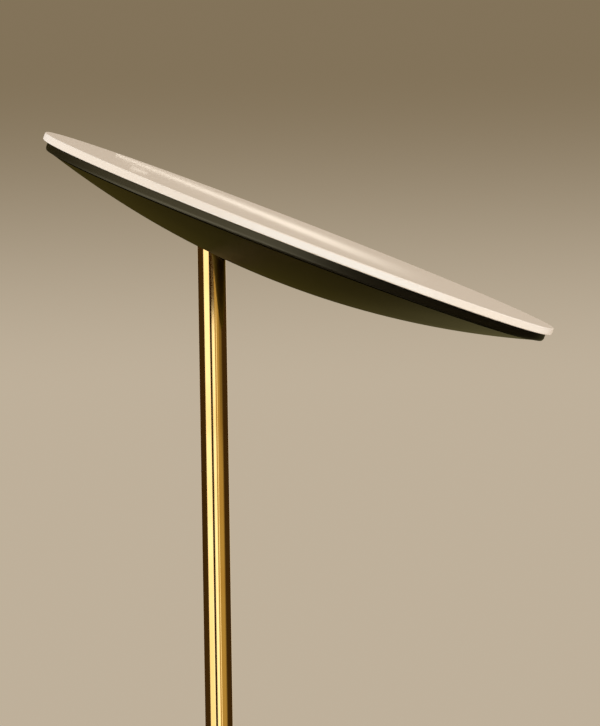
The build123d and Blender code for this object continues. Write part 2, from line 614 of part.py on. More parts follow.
def dish_outline(inset):
    """Closed outline of the space inside the dish's surface moved inwards by inset."""
    radius = DISH_RADIUS - inset
    corner = (radius, bowl_level(radius, inset))
    lowest = (0, bowl_level(0, inset))
    arc = ThreePointArc(lowest, (radius / 2, bowl_level(radius / 2, inset)), corner)
    return arc + Polyline(corner, (radius, DISH_TOP), (0, DISH_TOP), lowest)


def dish_fill(inset):
    """Solid inside the dish's surface moved inwards by inset."""
    return turned(dish_outline(inset))


def boss_places():
    """Places of the dish's bosses round the head's axis."""
    return ring_of(BOSS_COUNT, BOSS_CIRCLE_RADIUS, 180 / BOSS_COUNT)


def dish():
    """Pressed dish with a slot for the pole and bosses that carry the LED carrier plate."""
    lower_edge = (DISH_RADIUS, RIM_BOTTOM)
    shell = turned(dish_outline(0), (lower_edge, DISH_EDGE_RADIUS)) - dish_fill(DISH_SHEET)
    middle_of_sheet = dish_fill(DISH_SHEET / 2)
    boss = barrel(BOSS_DIAMETER / 2, DISH_BOTTOM, CARRIER_BOTTOM)
    hole = barrel(CARRIER_SCREW_DIAMETER / 2 + SLIP, CARRIER_BOTTOM - CARRIER_SCREW_GRIP - SLIP, DISH_TOP)
    for place in boss_places():
        shell += (place * boss) & middle_of_sheet
        shell -= place * hole
    return HEAD_FRAME * (shell - slot_prism(LINER_WALL + SLIP))


def slot_liner():
    """Liner that edges the slot, flush outside and with a small flange inside the dish."""
    lip = DISH_SHEET + LINER_LIP
    wall = slot_prism(LINER_WALL) & (dish_fill(0) - dish_fill(lip))
    flange = slot_prism(LINER_WALL + LINER_FLANGE) & (dish_fill(DISH_SHEET + SLIP) - dish_fill(lip))
    return HEAD_FRAME * (wall + flange - slot_prism(0))


def diffuser():
    """Opal disc that overhangs the dish, with a skirt inside the rim."""
    radius = DIFFUSER_DIAMETER / 2
    outline = Polyline(
        (0, 0),
        (radius, 0),
        (radius, DISH_TOP),
        (SKIRT_OUTER, DISH_TOP),
        (SKIRT_OUTER, SKIRT_BOTTOM),
        (SKIRT_INNER, SKIRT_BOTTOM),
        (SKIRT_INNER, -DIFFUSER_WALL),
        (0, -DIFFUSER_WALL),
        (0, 0),
    )
    edges = [((radius, 0), DIFFUSER_EDGE_RADIUS), ((radius, DISH_TOP), DIFFUSER_EDGE_RADIUS)]
    return HEAD_FRAME * turned(outline, *edges)


def ear_screw_places():
    """Places of the ears' screws on the carrier's underside, in the hinge frame."""
    across = EAR_INNER + EAR_THICKNESS + (EAR_FLANGE_LENGTH - EAR_THICKNESS) / 2
    half = EAR_SCREW_SPACING / 2
    return [Pos(x, y, 0) for y in (-across, across) for x in (-half, half)]


def driver_screw_places():
    """Places of the driver's screws on the carrier's underside, in the head frame."""
    across = (DRIVER_WIDTH + DRIVER_TAB_LENGTH) / 2
    middle = (DRIVER_START + DRIVER_END) / 2
    return [Pos(middle, y, 0) for y in (-across, across)]


def carrier_plate():
    """Aluminium plate that carries the LED board, the hinge and the driver."""
    plate = barrel(CARRIER_RADIUS, CARRIER_BOTTOM, CARRIER_TOP)
    hole = barrel(CARRIER_SCREW_DIAMETER / 2 + SLIP, CARRIER_BOTTOM - OVERRUN, CARRIER_TOP + OVERRUN)
    for place in boss_places():
        plate -= place * hole
    ear_hole = barrel(EAR_SCREW_DIAMETER / 2 + SLIP, CARRIER_BOTTOM - OVERRUN, CARRIER_TOP + OVERRUN)
    for place in ear_screw_places():
        plate -= Pos(-HEAD_OFFSET, 0, 0) * place * ear_hole
    for place in driver_screw_places():
        plate -= place * ear_hole
    return HEAD_FRAME * (plate - led_lead_hole())


def led_lead_hole():
    """Hole for the LED lead through the carrier plate and the board."""
    hole = barrel(LED_LEAD_DIAMETER / 2 + LED_HOLE_ROOM, CARRIER_BOTTOM - OVERRUN, BOARD_TOP + OVERRUN)
    return Pos(LED_HOLE, 0, 0) * hole


def led_board():
    """Round LED board on the carrier plate."""
    board = barrel(BOARD_RADIUS, CARRIER_TOP, BOARD_TOP)
    hole = barrel(CARRIER_SCREW_DIAMETER / 2 + SLIP, CARRIER_TOP - OVERRUN, BOARD_TOP + OVERRUN)
    for place in boss_places():
        board -= place * hole
    return HEAD_FRAME * (board - led_lead_hole())


def led_chips():
    """LED chips in rings on the board, each ring half a step round from a spoke through the lead's hole."""
    half = CHIP_WIDTH / 2
    chip = block((-half, half), (-half, half), (BOARD_TOP, BOARD_TOP + CHIP_HEIGHT))
    limit = BOSS_CIRCLE_RADIUS - CARRIER_SCREW_HEAD / 2 - CHIP_WIDTH
    chips = []
    radius = CHIP_FIRST_RING
    while radius < limit:
        count = round(2 * math.pi * radius / CHIP_SPACING)
        chips += [HEAD_FRAME * place * chip for place in ring_of(count, radius, 180 / count)]
        radius += CHIP_RING_STEP
    return chips


def carrier_screws():
    """Screws through the LED board and the carrier plate into the dish's bosses."""
    length = BOARD_THICKNESS + CARRIER_THICKNESS + CARRIER_SCREW_GRIP
    screw = pan_screw(CARRIER_SCREW_DIAMETER, CARRIER_SCREW_HEAD, CARRIER_SCREW_HEAD_HEIGHT, length)
    return [HEAD_FRAME * place * Pos(0, 0, BOARD_TOP) * screw for place in boss_places()]


def reflector_ring():
    """White ring from the carrier's edge up to the diffuser's skirt."""
    inner = BOARD_RADIUS + SEAT_GAP
    outer = SKIRT_INNER - REFLECTOR_EDGE_GAP
    rim_level = bowl_level(outer, DISH_SHEET) + REFLECTOR_EDGE_GAP
    outline = Polyline(
        (inner, CARRIER_TOP),
        (CARRIER_RADIUS, CARRIER_TOP),
        (outer, rim_level),
        (outer, rim_level + REFLECTOR_THICKNESS),
        (CARRIER_RADIUS, CARRIER_TOP + REFLECTOR_THICKNESS),
        (inner, CARRIER_TOP + REFLECTOR_THICKNESS),
        (inner, CARRIER_TOP),
    )
    return HEAD_FRAME * turned(outline)


def hinge_ear(side):
    """Bracket beside the knuckle, hung from the carrier plate: side is -1 at the front, 1 at the rear."""
    top = KNUCKLE_RADIUS + HINGE_HEADROOM
    near, far = sorted((side * EAR_INNER, side * EAR_OUTER))
    ear = ALONG_Y * barrel(EAR_RADIUS, near, far)
    ear += block((-EAR_RADIUS, EAR_RADIUS), (near, far), (0, top))
    flange_y = sorted((side * EAR_INNER, side * (EAR_INNER + EAR_FLANGE_LENGTH)))
    half_flange = EAR_FLANGE_WIDTH / 2
    ear += block((-half_flange, half_flange), flange_y, (top - EAR_THICKNESS, top))
    ear -= ALONG_Y * barrel(HINGE_BOLT_DIAMETER / 2 + RUNNING, near - OVERRUN, far + OVERRUN)
    hole = barrel(EAR_SCREW_DIAMETER / 2 + SLIP, top - EAR_THICKNESS - OVERRUN, top + OVERRUN)
    for place in ear_screw_places():
        ear -= place * hole
    return HINGE_FRAME * ear


def under_carrier_screw():
    """Screw with its seat on the XY plane, its head below and its end flush with the carrier's top."""
    length = EAR_THICKNESS + CARRIER_THICKNESS
    return UPSIDE_DOWN * pan_screw(EAR_SCREW_DIAMETER, EAR_SCREW_HEAD, EAR_SCREW_HEAD_HEIGHT, length)


def ear_screws():
    """Screws that hold the hinge ears to the carrier plate."""
    seat = KNUCKLE_RADIUS + HINGE_HEADROOM - EAR_THICKNESS
    return [HINGE_FRAME * place * Pos(0, 0, seat) * under_carrier_screw() for place in ear_screw_places()]


def driver_screws():
    """Screws that hold the driver's tabs to the carrier plate."""
    seat = CARRIER_BOTTOM - EAR_THICKNESS
    return [HEAD_FRAME * place * Pos(0, 0, seat) * under_carrier_screw() for place in driver_screw_places()]


def nut_seat():
    """Distance along the hinge axis from its middle to the nut's seat."""
    return EAR_OUTER + DISC_SPRING_THICKNESS + DISC_SPRING_RISE


def hinge_bolt():
    """Bolt through both ears and the knuckle, with its head at the front."""
    end = nut_seat() + HINGE_NUT_HEIGHT + HINGE_BOLT_END
    bolt = barrel(HINGE_BOLT_DIAMETER / 2, -EAR_OUTER, end)
    bolt += Pos(0, 0, -EAR_OUTER - HINGE_BOLT_HEAD) * prism(HINGE_BOLT_FLATS, 6, HINGE_BOLT_HEAD)
    return HINGE_FRAME * ALONG_Y * bolt


def hinge_nut():
    """Lock nut that sets the hinge's friction."""
    nut = prism(HINGE_BOLT_FLATS, 6, HINGE_NUT_HEIGHT)
    nut -= barrel(HINGE_BOLT_DIAMETER / 2 + SLIP, -OVERRUN, HINGE_NUT_HEIGHT + OVERRUN)
    return HINGE_FRAME * ALONG_Y * Pos(0, 0, nut_seat()) * nut


def disc_spring():
    """Coned spring washer between the rear ear and the nut."""
    inner = HINGE_BOLT_DIAMETER / 2 + SLIP
    outer = DISC_SPRING_DIAMETER / 2
    low = EAR_OUTER
    high = EAR_OUTER + DISC_SPRING_RISE
    outline = Polyline(
        (outer, low),
        (outer, low + DISC_SPRING_THICKNESS),
        (inner, high + DISC_SPRING_THICKNESS),
        (inner, high),
        (outer, low),
    )
    return HINGE_FRAME * ALONG_Y * turned(outline)


def friction_washers():
    """Washers between the knuckle and each ear."""
    near = KNUCKLE_WIDTH / 2 + RUNNING
    far = near + FRICTION_WASHER_THICKNESS
    washer = tube(FRICTION_WASHER_DIAMETER / 2, HINGE_BOLT_DIAMETER / 2 + RUNNING, near, far)
    return [HINGE_FRAME * way * washer for way in (ALONG_MINUS_Y, ALONG_Y)]


def driver_case():
    """Open box of the driver under the carrier plate, with a screw tab at each side."""
    half = DRIVER_WIDTH / 2
    inside_x = (DRIVER_START + DRIVER_WALL, DRIVER_END - DRIVER_WALL)
    inside_half = half - DRIVER_WALL
    case = block((DRIVER_START, DRIVER_END), (-half, half), (DRIVER_BOTTOM, CARRIER_BOTTOM))
    middle = (DRIVER_START + DRIVER_END) / 2
    tab_x = (middle - DRIVER_TAB_WIDTH / 2, middle + DRIVER_TAB_WIDTH / 2)
    reach = half + DRIVER_TAB_LENGTH
    case += block(tab_x, (-reach, reach), (CARRIER_BOTTOM - EAR_THICKNESS, CARRIER_BOTTOM))
    ledge_top = DRIVER_BOTTOM + DRIVER_WALL + DRIVER_LEDGE
    case -= block(inside_x, (-inside_half, inside_half), (ledge_top, CARRIER_BOTTOM + OVERRUN))
    trough_half = inside_half - DRIVER_LEDGE
    case -= block(inside_x, (-trough_half, trough_half), (DRIVER_BOTTOM + DRIVER_WALL, ledge_top + OVERRUN))
    tab_bottom = CARRIER_BOTTOM - EAR_THICKNESS
    hole = barrel(EAR_SCREW_DIAMETER / 2 + SLIP, tab_bottom - OVERRUN, CARRIER_BOTTOM + OVERRUN)
    for place in driver_screw_places():
        case -= place * hole
    case -= lead_notch(DRIVER_START, LEAD_RADIUS, LEAD_LEVEL)
    return HEAD_FRAME * (case - lead_notch(DRIVER_END, LED_LEAD_DIAMETER / 2, LED_LEAD_LEVEL))


def lead_notch(wall, lead_radius, level):
    """Notch for a lead in an end wall of the driver's case, open towards the carrier plate."""
    half = lead_radius + SLIP
    reach = DRIVER_WALL + SLIP
    return block((wall - reach, wall + reach), (-half, half), (level - half, CARRIER_BOTTOM + OVERRUN))


def driver_board():
    """Driver's circuit board with its parts and a terminal at each end."""
    inside_half = DRIVER_WIDTH / 2 - DRIVER_WALL - SLIP
    start = DRIVER_START + DRIVER_WALL + SLIP
    end = DRIVER_END - DRIVER_WALL - SLIP
    bottom = DRIVER_BOARD_TOP - DRIVER_BOARD_THICKNESS
    board = block((start, end), (-inside_half, inside_half), (bottom, DRIVER_BOARD_TOP))
    terminal_top = DRIVER_BOARD_TOP + COMPONENT_ROOM
    terminal_half = DRIVER_TERMINAL_LENGTH / 2
    for near, far in (
        (INPUT_TERMINAL, INPUT_TERMINAL + DRIVER_TERMINAL_LENGTH),
        (OUTPUT_TERMINAL - DRIVER_TERMINAL_LENGTH, OUTPUT_TERMINAL),
    ):
        board += block((near, far), (-terminal_half, terminal_half), (DRIVER_BOARD_TOP, terminal_top))
    width = 2 * inside_half
    for along, across, long_share, wide_share, high_share in COMPONENT_SHARES:
        x = start + along * DRIVER_LENGTH
        y = across * width - inside_half
        half_long = long_share * DRIVER_LENGTH / 2
        half_wide = wide_share * width / 2
        part_top = DRIVER_BOARD_TOP + high_share * COMPONENT_ROOM
        x_range = (x - half_long, x + half_long)
        y_range = (y - half_wide, y + half_wide)
        board += block(x_range, y_range, (DRIVER_BOARD_TOP, part_top))
    return HEAD_FRAME * board


def hinge_lead():
    """Flexible lead from the pole's top over the hinge to the driver's input terminal."""
    tilt = math.radians(HEAD_TILT)
    level = LEAD_LEVEL - PIVOT_LEVEL
    corner_level = (level - GROOVE_LEAD * math.sin(tilt)) / math.cos(tilt)
    end = HINGE_FRAME * Pos(INPUT_TERMINAL + HEAD_OFFSET, 0, level)
    bend = GRIP_SHARE * (corner_level + KNUCKLE_DROP) / math.tan(math.radians(90 + HEAD_TILT) / 2)
    route = [
        (GROOVE_LEAD, 0, UPPER_POLE_TOP),
        (GROOVE_LEAD, 0, HINGE_LEVEL + corner_level),
        end.position,
    ]
    return round_bar(FilletPolyline(*route, radius=bend), LEAD_RADIUS)


def led_lead():
    """Lead from the driver's output terminal up through the carrier plate to the board's connector."""
    top = BOARD_TOP + LED_LEAD_RISE
    route = [
        (OUTPUT_TERMINAL, 0, LED_LEAD_LEVEL),
        (LED_HOLE, 0, LED_LEAD_LEVEL),
        (LED_HOLE, 0, top),
        (CONNECTOR_FACE, 0, top),
    ]
    path = FilletPolyline(*route, radius=LED_LEAD_BEND)
    return HEAD_FRAME * round_bar(path, LED_LEAD_DIAMETER / 2)


def board_connector():
    """Connector on the LED board."""
    half = CONNECTOR_WIDTH / 2
    x_range = (CONNECTOR_FACE - CONNECTOR_LENGTH, CONNECTOR_FACE)
    return HEAD_FRAME * block(x_range, (-half, half), (BOARD_TOP, BOARD_TOP + CONNECTOR_HEIGHT))


def all_nodes():
    """Every separate piece of the lamp by name, as one solid or as a list of like solids."""
    return {
        "floor_pad": floor_pad(),
        "base_plate": base_plate(),
        "plate_screws": plate_screws(),
        "base_weight": base_weight(),
        "base_cover": base_cover(),
        "base_nipple": base_nipple(),
        "base_nut": base_nut(),
        "base_washer": base_washer(),
        "base_collar": base_collar(),
        "cord_gland": cord_gland(),
        "terminal_block": terminal_block(),
        "pole_insert": pole_insert(),
        "lower_pole": pole(BASE_HEIGHT, LOWER_POLE_LENGTH),
        "pole_coupler": pole_coupler(),
        "middle_pole": pole(LOWER_POLE_TOP, MIDDLE_POLE_LENGTH),
        "switch_housing": switch_housing(),
        "switch_cover": switch_cover(),
        "set_screws": set_screws(),
        "dimmer_board": dimmer_board(),
        "tact_switch": tact_switch(),
        "dimmer_button": dimmer_button(),
        "upper_pole": pole(UPPER_POLE_BOTTOM, UPPER_POLE_LENGTH),
        "pole_lead": pole_lead(),
        "hinge_knuckle": hinge_knuckle(),
        "friction_washers": friction_washers(),
        "hinge_ear_front": hinge_ear(-1),
        "hinge_ear_rear": hinge_ear(1),
        "ear_screws": ear_screws(),
        "hinge_bolt": hinge_bolt(),
        "disc_spring": disc_spring(),
        "hinge_nut": hinge_nut(),
        "hinge_lead": hinge_lead(),
        "dish": dish(),
        "slot_liner": slot_liner(),
        "carrier_plate": carrier_plate(),
        "carrier_screws": carrier_screws(),
        "driver_case": driver_case(),
        "driver_board": driver_board(),
        "driver_screws": driver_screws(),
        "led_lead": led_lead(),
        "led_board": led_board(),
        "board_connector": board_connector(),
        "led_chips": led_chips(),
        "reflector_ring": reflector_ring(),
        "diffuser": diffuser(),
    }


def write_parts():
    """Write one STEP file for each node."""
    os.makedirs("parts", exist_ok=True)
    for name, shape in all_nodes().items():
        if isinstance(shape, list):
            shape = Compound(children=[piece.solid() for piece in shape])
        shape.label = name
        export_step(shape, f"parts/{name}.step")
    print("hinge axis above the floor", HINGE_LEVEL)
    print("switch above the floor", SWITCH_LEVEL)


write_parts()
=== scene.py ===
import json
import logging
import math
from abc import ABC, abstractmethod
from dataclasses import dataclass
from enum import Enum
from functools import cache
from typing import Callable, Mapping, Sequence, Union

import bmesh
import bpy
from mathutils import Matrix, Vector

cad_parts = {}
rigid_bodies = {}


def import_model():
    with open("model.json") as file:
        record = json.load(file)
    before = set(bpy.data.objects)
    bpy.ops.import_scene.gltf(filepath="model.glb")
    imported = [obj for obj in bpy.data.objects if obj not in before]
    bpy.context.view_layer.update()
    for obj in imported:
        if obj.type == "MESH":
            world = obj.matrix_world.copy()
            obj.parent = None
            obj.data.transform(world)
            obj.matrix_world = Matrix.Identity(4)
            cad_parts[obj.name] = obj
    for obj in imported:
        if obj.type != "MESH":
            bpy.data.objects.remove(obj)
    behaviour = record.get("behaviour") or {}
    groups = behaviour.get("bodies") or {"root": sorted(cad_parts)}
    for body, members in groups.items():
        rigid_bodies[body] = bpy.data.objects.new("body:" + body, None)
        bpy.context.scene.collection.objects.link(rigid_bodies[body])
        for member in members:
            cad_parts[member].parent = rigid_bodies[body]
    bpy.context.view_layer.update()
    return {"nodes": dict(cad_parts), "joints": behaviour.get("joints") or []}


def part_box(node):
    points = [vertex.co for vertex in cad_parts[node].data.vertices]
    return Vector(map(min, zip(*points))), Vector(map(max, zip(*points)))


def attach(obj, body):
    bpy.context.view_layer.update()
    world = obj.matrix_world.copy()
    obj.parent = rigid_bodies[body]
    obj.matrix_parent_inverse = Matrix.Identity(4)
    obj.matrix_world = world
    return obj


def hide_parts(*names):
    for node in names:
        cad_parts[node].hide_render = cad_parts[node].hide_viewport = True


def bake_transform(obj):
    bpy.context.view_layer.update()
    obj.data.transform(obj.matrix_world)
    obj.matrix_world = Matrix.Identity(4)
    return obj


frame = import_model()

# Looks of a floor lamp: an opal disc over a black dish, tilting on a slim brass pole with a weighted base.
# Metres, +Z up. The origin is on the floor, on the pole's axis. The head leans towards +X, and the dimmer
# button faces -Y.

LOG = logging.getLogger("floor_lamp")
QUARTER = math.pi / 2
FULL_TURN = 2 * math.pi
SHARP_ANGLE = math.radians(30)
MERGE_DISTANCE = 1e-7
MERGE_DIGITS = 8
TINY = 1e-9

Point = tuple[float, float]
Colour = tuple[float, float, float]
Triple = tuple[float, float, float]
Value = Union["Socket", float, int, bool, Sequence[float]]
Sockets = Mapping[Union[str, int], Value]
Reach = Callable[[float], float]

EVEN: Triple = (1.0, 1.0, 1.0)
UNTURNED = Matrix.Identity(4)


class Body(Enum):
    """Moving bodies of the lamp."""

    STAND = "stand"
    HEAD = "head"
    BUTTON = "button"


class Grain(Enum):
    """Ways that fine lines run over worked metal, as stretches of a noise pattern."""

    DRAWN = (1.0, 1.0, 0.004)
    TURNED = (0.02, 0.02, 1.0)


class Texture(Enum):
    """Patterns that can roughen a plain surface."""

    CLOUDS = "ShaderNodeTexNoise"
    CELLS = "ShaderNodeTexVoronoi"


class Socket:
    """Output of a node, with operators that add Math nodes to its tree."""

    def __init__(self, tree: "NodeTree", output: bpy.types.NodeSocket) -> None:
        """Keep the tree and the output."""
        self.tree = tree
        self.output = output

    def _math(self, operation: str, first: Value, second: Value) -> "Socket":
        """Add one Math node and return its result."""
        return self.tree.read("ShaderNodeMath", {0: first, 1: second}, operation=operation)

    def __add__(self, other: Value) -> "Socket":
        """Sum of two values."""
        return self._math("ADD", self, other)

    def __radd__(self, other: Value) -> "Socket":
        """Sum with a number on the left."""
        return self._math("ADD", other, self)

    def __sub__(self, other: Value) -> "Socket":
        """Difference of two values."""
        return self._math("SUBTRACT", self, other)

    def __rsub__(self, other: Value) -> "Socket":
        """Difference with a number on the left."""
        return self._math("SUBTRACT", other, self)

    def __mul__(self, other: Value) -> "Socket":
        """Product of two values."""
        return self._math("MULTIPLY", self, other)

    def __rmul__(self, other: Value) -> "Socket":
        """Product with a number on the left."""
        return self._math("MULTIPLY", other, self)

    def __truediv__(self, other: Value) -> "Socket":
        """Quotient of two values."""
        return self._math("DIVIDE", self, other)

    def __rtruediv__(self, other: Value) -> "Socket":
        """Quotient with a number on the left."""
        return self._math("DIVIDE", other, self)

    def largest(self, other: Value) -> "Socket":
        """Larger of two values."""
        return self._math("MAXIMUM", self, other)

    def angle_from(self, other: Value) -> "Socket":
        """Angle whose tangent is this value over the other one."""
        return self._math("ARCTAN2", self, other)


class NodeTree:
    """A node tree under construction."""

    def __init__(self, tree: bpy.types.NodeTree) -> None:
        """Take over a tree and empty it."""
        self.tree = tree
        tree.nodes.clear()

    def node(self, kind: str, sockets: Sockets | None = None, **settings: object) -> bpy.types.Node:
        """Add a node.

        Args:
            kind: the node's type.
            sockets: values or links of its inputs, by name or number.
            settings: properties of the node, set first; stops are a ramp's places and colours.

        Returns:
            The new node.
        """
        node = self.tree.nodes.new(kind)
        for key, value in settings.items():
            if key == "stops":
                self._set_stops(node.color_ramp, value)
            else:
                setattr(node, key, value)
        for key, value in (sockets or {}).items():
            if isinstance(value, Socket):
                self.tree.links.new(value.output, node.inputs[key])
            else:
                node.inputs[key].default_value = value
        return node

    def read(
        self, kind: str, sockets: Sockets | None = None, output: str | int = 0, **settings: object
    ) -> Socket:
        """Add a node and return one of its outputs, by name or number."""
        return Socket(self, self.node(kind, sockets, **settings).outputs[output])

    @staticmethod
    def _set_stops(ramp: bpy.types.ColorRamp, stops: Sequence[tuple[float, Colour]]) -> None:
        """Give a ramp its stops.

        Args:
            ramp: the ramp.
            stops: place and colour of each stop.
        """
        while len(ramp.elements) < len(stops):
            ramp.elements.new(1.0)
        for element, (place, colour) in zip(ramp.elements, stops):
            element.position = place
            element.color = rgba(colour)


def rgba(colour: Colour) -> tuple[float, float, float, float]:
    """Opaque colour with its fourth value."""
    return (*colour, 1.0)


class ShaderTree(NodeTree):
    """A shader under construction."""

    # Numbers of the sockets that a Mix node uses for colours.
    MIX_SHARE, MIX_FIRST, MIX_SECOND, MIX_RESULT = 0, 6, 7, 2

    def step(self, value: Value, low: float, high: float) -> Socket:
        """Smooth step from 0 at low to 1 at high."""
        sockets = {"Value": value, "From Min": low, "From Max": high}
        return self.read("ShaderNodeMapRange", sockets, interpolation_type="SMOOTHSTEP")

    def mix(self, share: Value, first: Colour | Socket, second: Colour | Socket) -> Socket:
        """Mix of two colours.

        Args:
            share: share of the second colour.
            first: colour where the share is 0.
            second: colour where the share is 1.

        Returns:
            The mixed colour.
        """
        ends = [end if isinstance(end, Socket) else rgba(end) for end in (first, second)]
        sockets = {self.MIX_SHARE: share, self.MIX_FIRST: ends[0], self.MIX_SECOND: ends[1]}
        return self.read("ShaderNodeMix", sockets, self.MIX_RESULT, data_type="RGBA")

    def mix_shaders(self, share: Value, first: Socket, second: Socket) -> Socket:
        """Mix of two shaders, with a share of the second one."""
        return self.read("ShaderNodeMixShader", {0: share, 1: first, 2: second})


class MaterialTree(ShaderTree):
    """A material under construction."""

    def __init__(self, title: str) -> None:
        """Make an empty material with this name.

        Args:
            title: the material's name.
        """
        self.material = bpy.data.materials.new(title)
        self.material.use_nodes = True
        super().__init__(self.material.node_tree)

    def place(self, stretch: Triple = EVEN) -> Socket:
        """Object coordinates, stretched along each axis."""
        spot = self.read("ShaderNodeTexCoord", output="Object")
        return self.read("ShaderNodeMapping", {"Vector": spot, "Scale": stretch}, vector_type="POINT")

    def pattern(self, texture: Texture, size: float, detail: float = 2.0, stretch: Triple = EVEN) -> Socket:
        """Grey pattern over the surface.

        Args:
            texture: kind of pattern.
            size: rough size of one patch, in metres.
            detail: octaves of a noise.
            stretch: scale along each axis, where a small value draws the pattern out.

        Returns:
            A value from about 0 to 1.
        """
        sockets = {"Vector": self.place(stretch), "Scale": 1.0 / size}
        if texture is Texture.CLOUDS:
            sockets["Detail"] = detail
        return self.read(texture.value, sockets)

    def bump(self, height: Socket, depth: float) -> Socket:
        """Normal of a surface roughened by a pattern, with the relief's real depth in metres."""
        return self.read("ShaderNodeBump", {"Strength": 1.0, "Distance": depth, "Height": height})

    def surface(self, sockets: Sockets) -> None:
        """End in a Principled surface with these inputs."""
        self.end(self.read("ShaderNodeBsdfPrincipled", sockets))

    def end(self, shader: Socket) -> None:
        """End in a shader."""
        self.node("ShaderNodeOutputMaterial", {"Surface": shader})


@dataclass(frozen=True)
class Finish(ABC):
    """A surface finish that makes its own material."""

    title: str

    @abstractmethod
    def paint(self, tree: MaterialTree) -> None:
        """Build the finish's nodes in a material's tree."""

    @cache
    def material(self) -> bpy.types.Material:
        """Make the finish's material, once.

        Returns:
            The material.
        """
        tree = MaterialTree(self.title)
        self.paint(tree)
        return tree.material


@dataclass(frozen=True)
class Brass(Finish):
    """Polished brass with fine working lines and a faint uneven tarnish."""

    grain: Grain
    light: Colour = (0.93, 0.66, 0.24)
    deep: Colour = (0.87, 0.58, 0.19)
    roughness: float = 0.05
    line_width: float = 0.0005
    line_detail: float = 3.0
    line_depth: float = 0.0000005
    line_roughness: float = 0.04
    cloud_size: float = 0.045
    cloud_detail: float = 5.0
    tarnish_start: float = 0.42
    tarnish_full: float = 0.72
    tarnish_roughness: float = 0.03

    def paint(self, tree: MaterialTree) -> None:
        """Build the metal's colour, gloss and lines.

        Args:
            tree: the material's tree.
        """
        lines = tree.pattern(Texture.CLOUDS, self.line_width, self.line_detail, self.grain.value)
        clouds = tree.pattern(Texture.CLOUDS, self.cloud_size, self.cloud_detail)
        tarnish = tree.step(clouds, self.tarnish_start, self.tarnish_full)
        tree.surface({
            "Base Color": tree.mix(tarnish, self.light, self.deep),
            "Metallic": 1.0,
            "Roughness": self.roughness + self.line_roughness * lines + self.tarnish_roughness * tarnish,
            "Normal": tree.bump(lines, self.line_depth),
        })


@dataclass(frozen=True)
class Lacquer(Finish):
    """Sprayed black lacquer with a soft gloss, a trace of orange peel and fine dust."""

    colour: Colour = (0.0062, 0.0046, 0.0016)
    dust: Colour = (0.035, 0.028, 0.016)
    dust_share: float = 0.5
    roughness: float = 0.34
    gloss: float = 0.42
    fine_detail: float = 1.0
    peel_size: float = 0.0022
    peel_depth: float = 0.000004
    speck_size: float = 0.0011
    speck_start: float = 0.74
    speck_full: float = 0.84
    speck_roughness: float = 0.15
    haze_size: float = 0.06
    haze_detail: float = 4.0
    haze_roughness: float = 0.09

    def paint(self, tree: MaterialTree) -> None:
        """Build the coat's colour, gloss and relief.

        Args:
            tree: the material's tree.
        """
        peel = tree.pattern(Texture.CLOUDS, self.peel_size, self.fine_detail)
        dots = tree.pattern(Texture.CLOUDS, self.speck_size, self.fine_detail)
        specks = tree.step(dots, self.speck_start, self.speck_full)
        haze = tree.pattern(Texture.CLOUDS, self.haze_size, self.haze_detail)
        tree.surface({
            "Base Color": tree.mix(self.dust_share * specks, self.colour, self.dust),
            "Roughness": self.roughness + self.haze_roughness * haze + self.speck_roughness * specks,
            "Specular IOR Level": self.gloss,
            "Normal": tree.bump(peel, self.peel_depth),
        })


@dataclass(frozen=True)
class Opal(Finish):
    """Opal acrylic: warm white, faintly cloudy, with a soft gloss."""

    light: Colour = (0.87, 0.81, 0.74)
    shade: Colour = (0.84, 0.775, 0.70)
    roughness: float = 0.30
    gloss: float = 0.35
    gloss_roughness: float = 0.03
    cloud_size: float = 0.035
    cloud_detail: float = 4.0
    cloud_roughness: float = 0.06
    wave_size: float = 0.0016
    wave_depth: float = 0.000002

    def paint(self, tree: MaterialTree) -> None:
        """Build the acrylic's colour, gloss and slight waviness.

        Args:
            tree: the material's tree.
        """
        clouds = tree.pattern(Texture.CLOUDS, self.cloud_size, self.cloud_detail)
        waves = tree.pattern(Texture.CLOUDS, self.wave_size)
        tree.surface({
            "Base Color": tree.mix(clouds, self.light, self.shade),
            "Roughness": self.roughness + self.cloud_roughness * clouds,
            "Coat Weight": self.gloss,
            "Coat Roughness": self.gloss_roughness,
            "Normal": tree.bump(waves, self.wave_depth),
        })


@dataclass(frozen=True)
class Grained(Finish):
    """Plain stuff with two close tones, a fine relief and an even gloss, such as plastic or rubber."""

    light: Colour
    dark: Colour
    roughness: float
    size: float
    depth: float
    texture: Texture = Texture.CLOUDS
    metallic: float = 0.0
    stretch: Triple = EVEN
    detail: float = 3.0
    cloud_growth: float = 20.0
    cloud_share: float = 0.5
    cloud_roughness: float = 0.1

    def paint(self, tree: MaterialTree) -> None:
        """Build the tones, the gloss and the relief.

        Args:
            tree: the material's tree.
        """
        relief = tree.pattern(self.texture, self.size, self.detail, self.stretch)
        clouds = tree.pattern(Texture.CLOUDS, self.cloud_growth * self.size, self.detail)
        tone = (1.0 - self.cloud_share) * relief + self.cloud_share * clouds
        tree.surface({
            "Base Color": tree.mix(tone, self.light, self.dark),
            "Metallic": self.metallic,
            "Roughness": self.roughness + self.cloud_roughness * clouds,
            "Normal": tree.bump(relief, self.depth),
        })


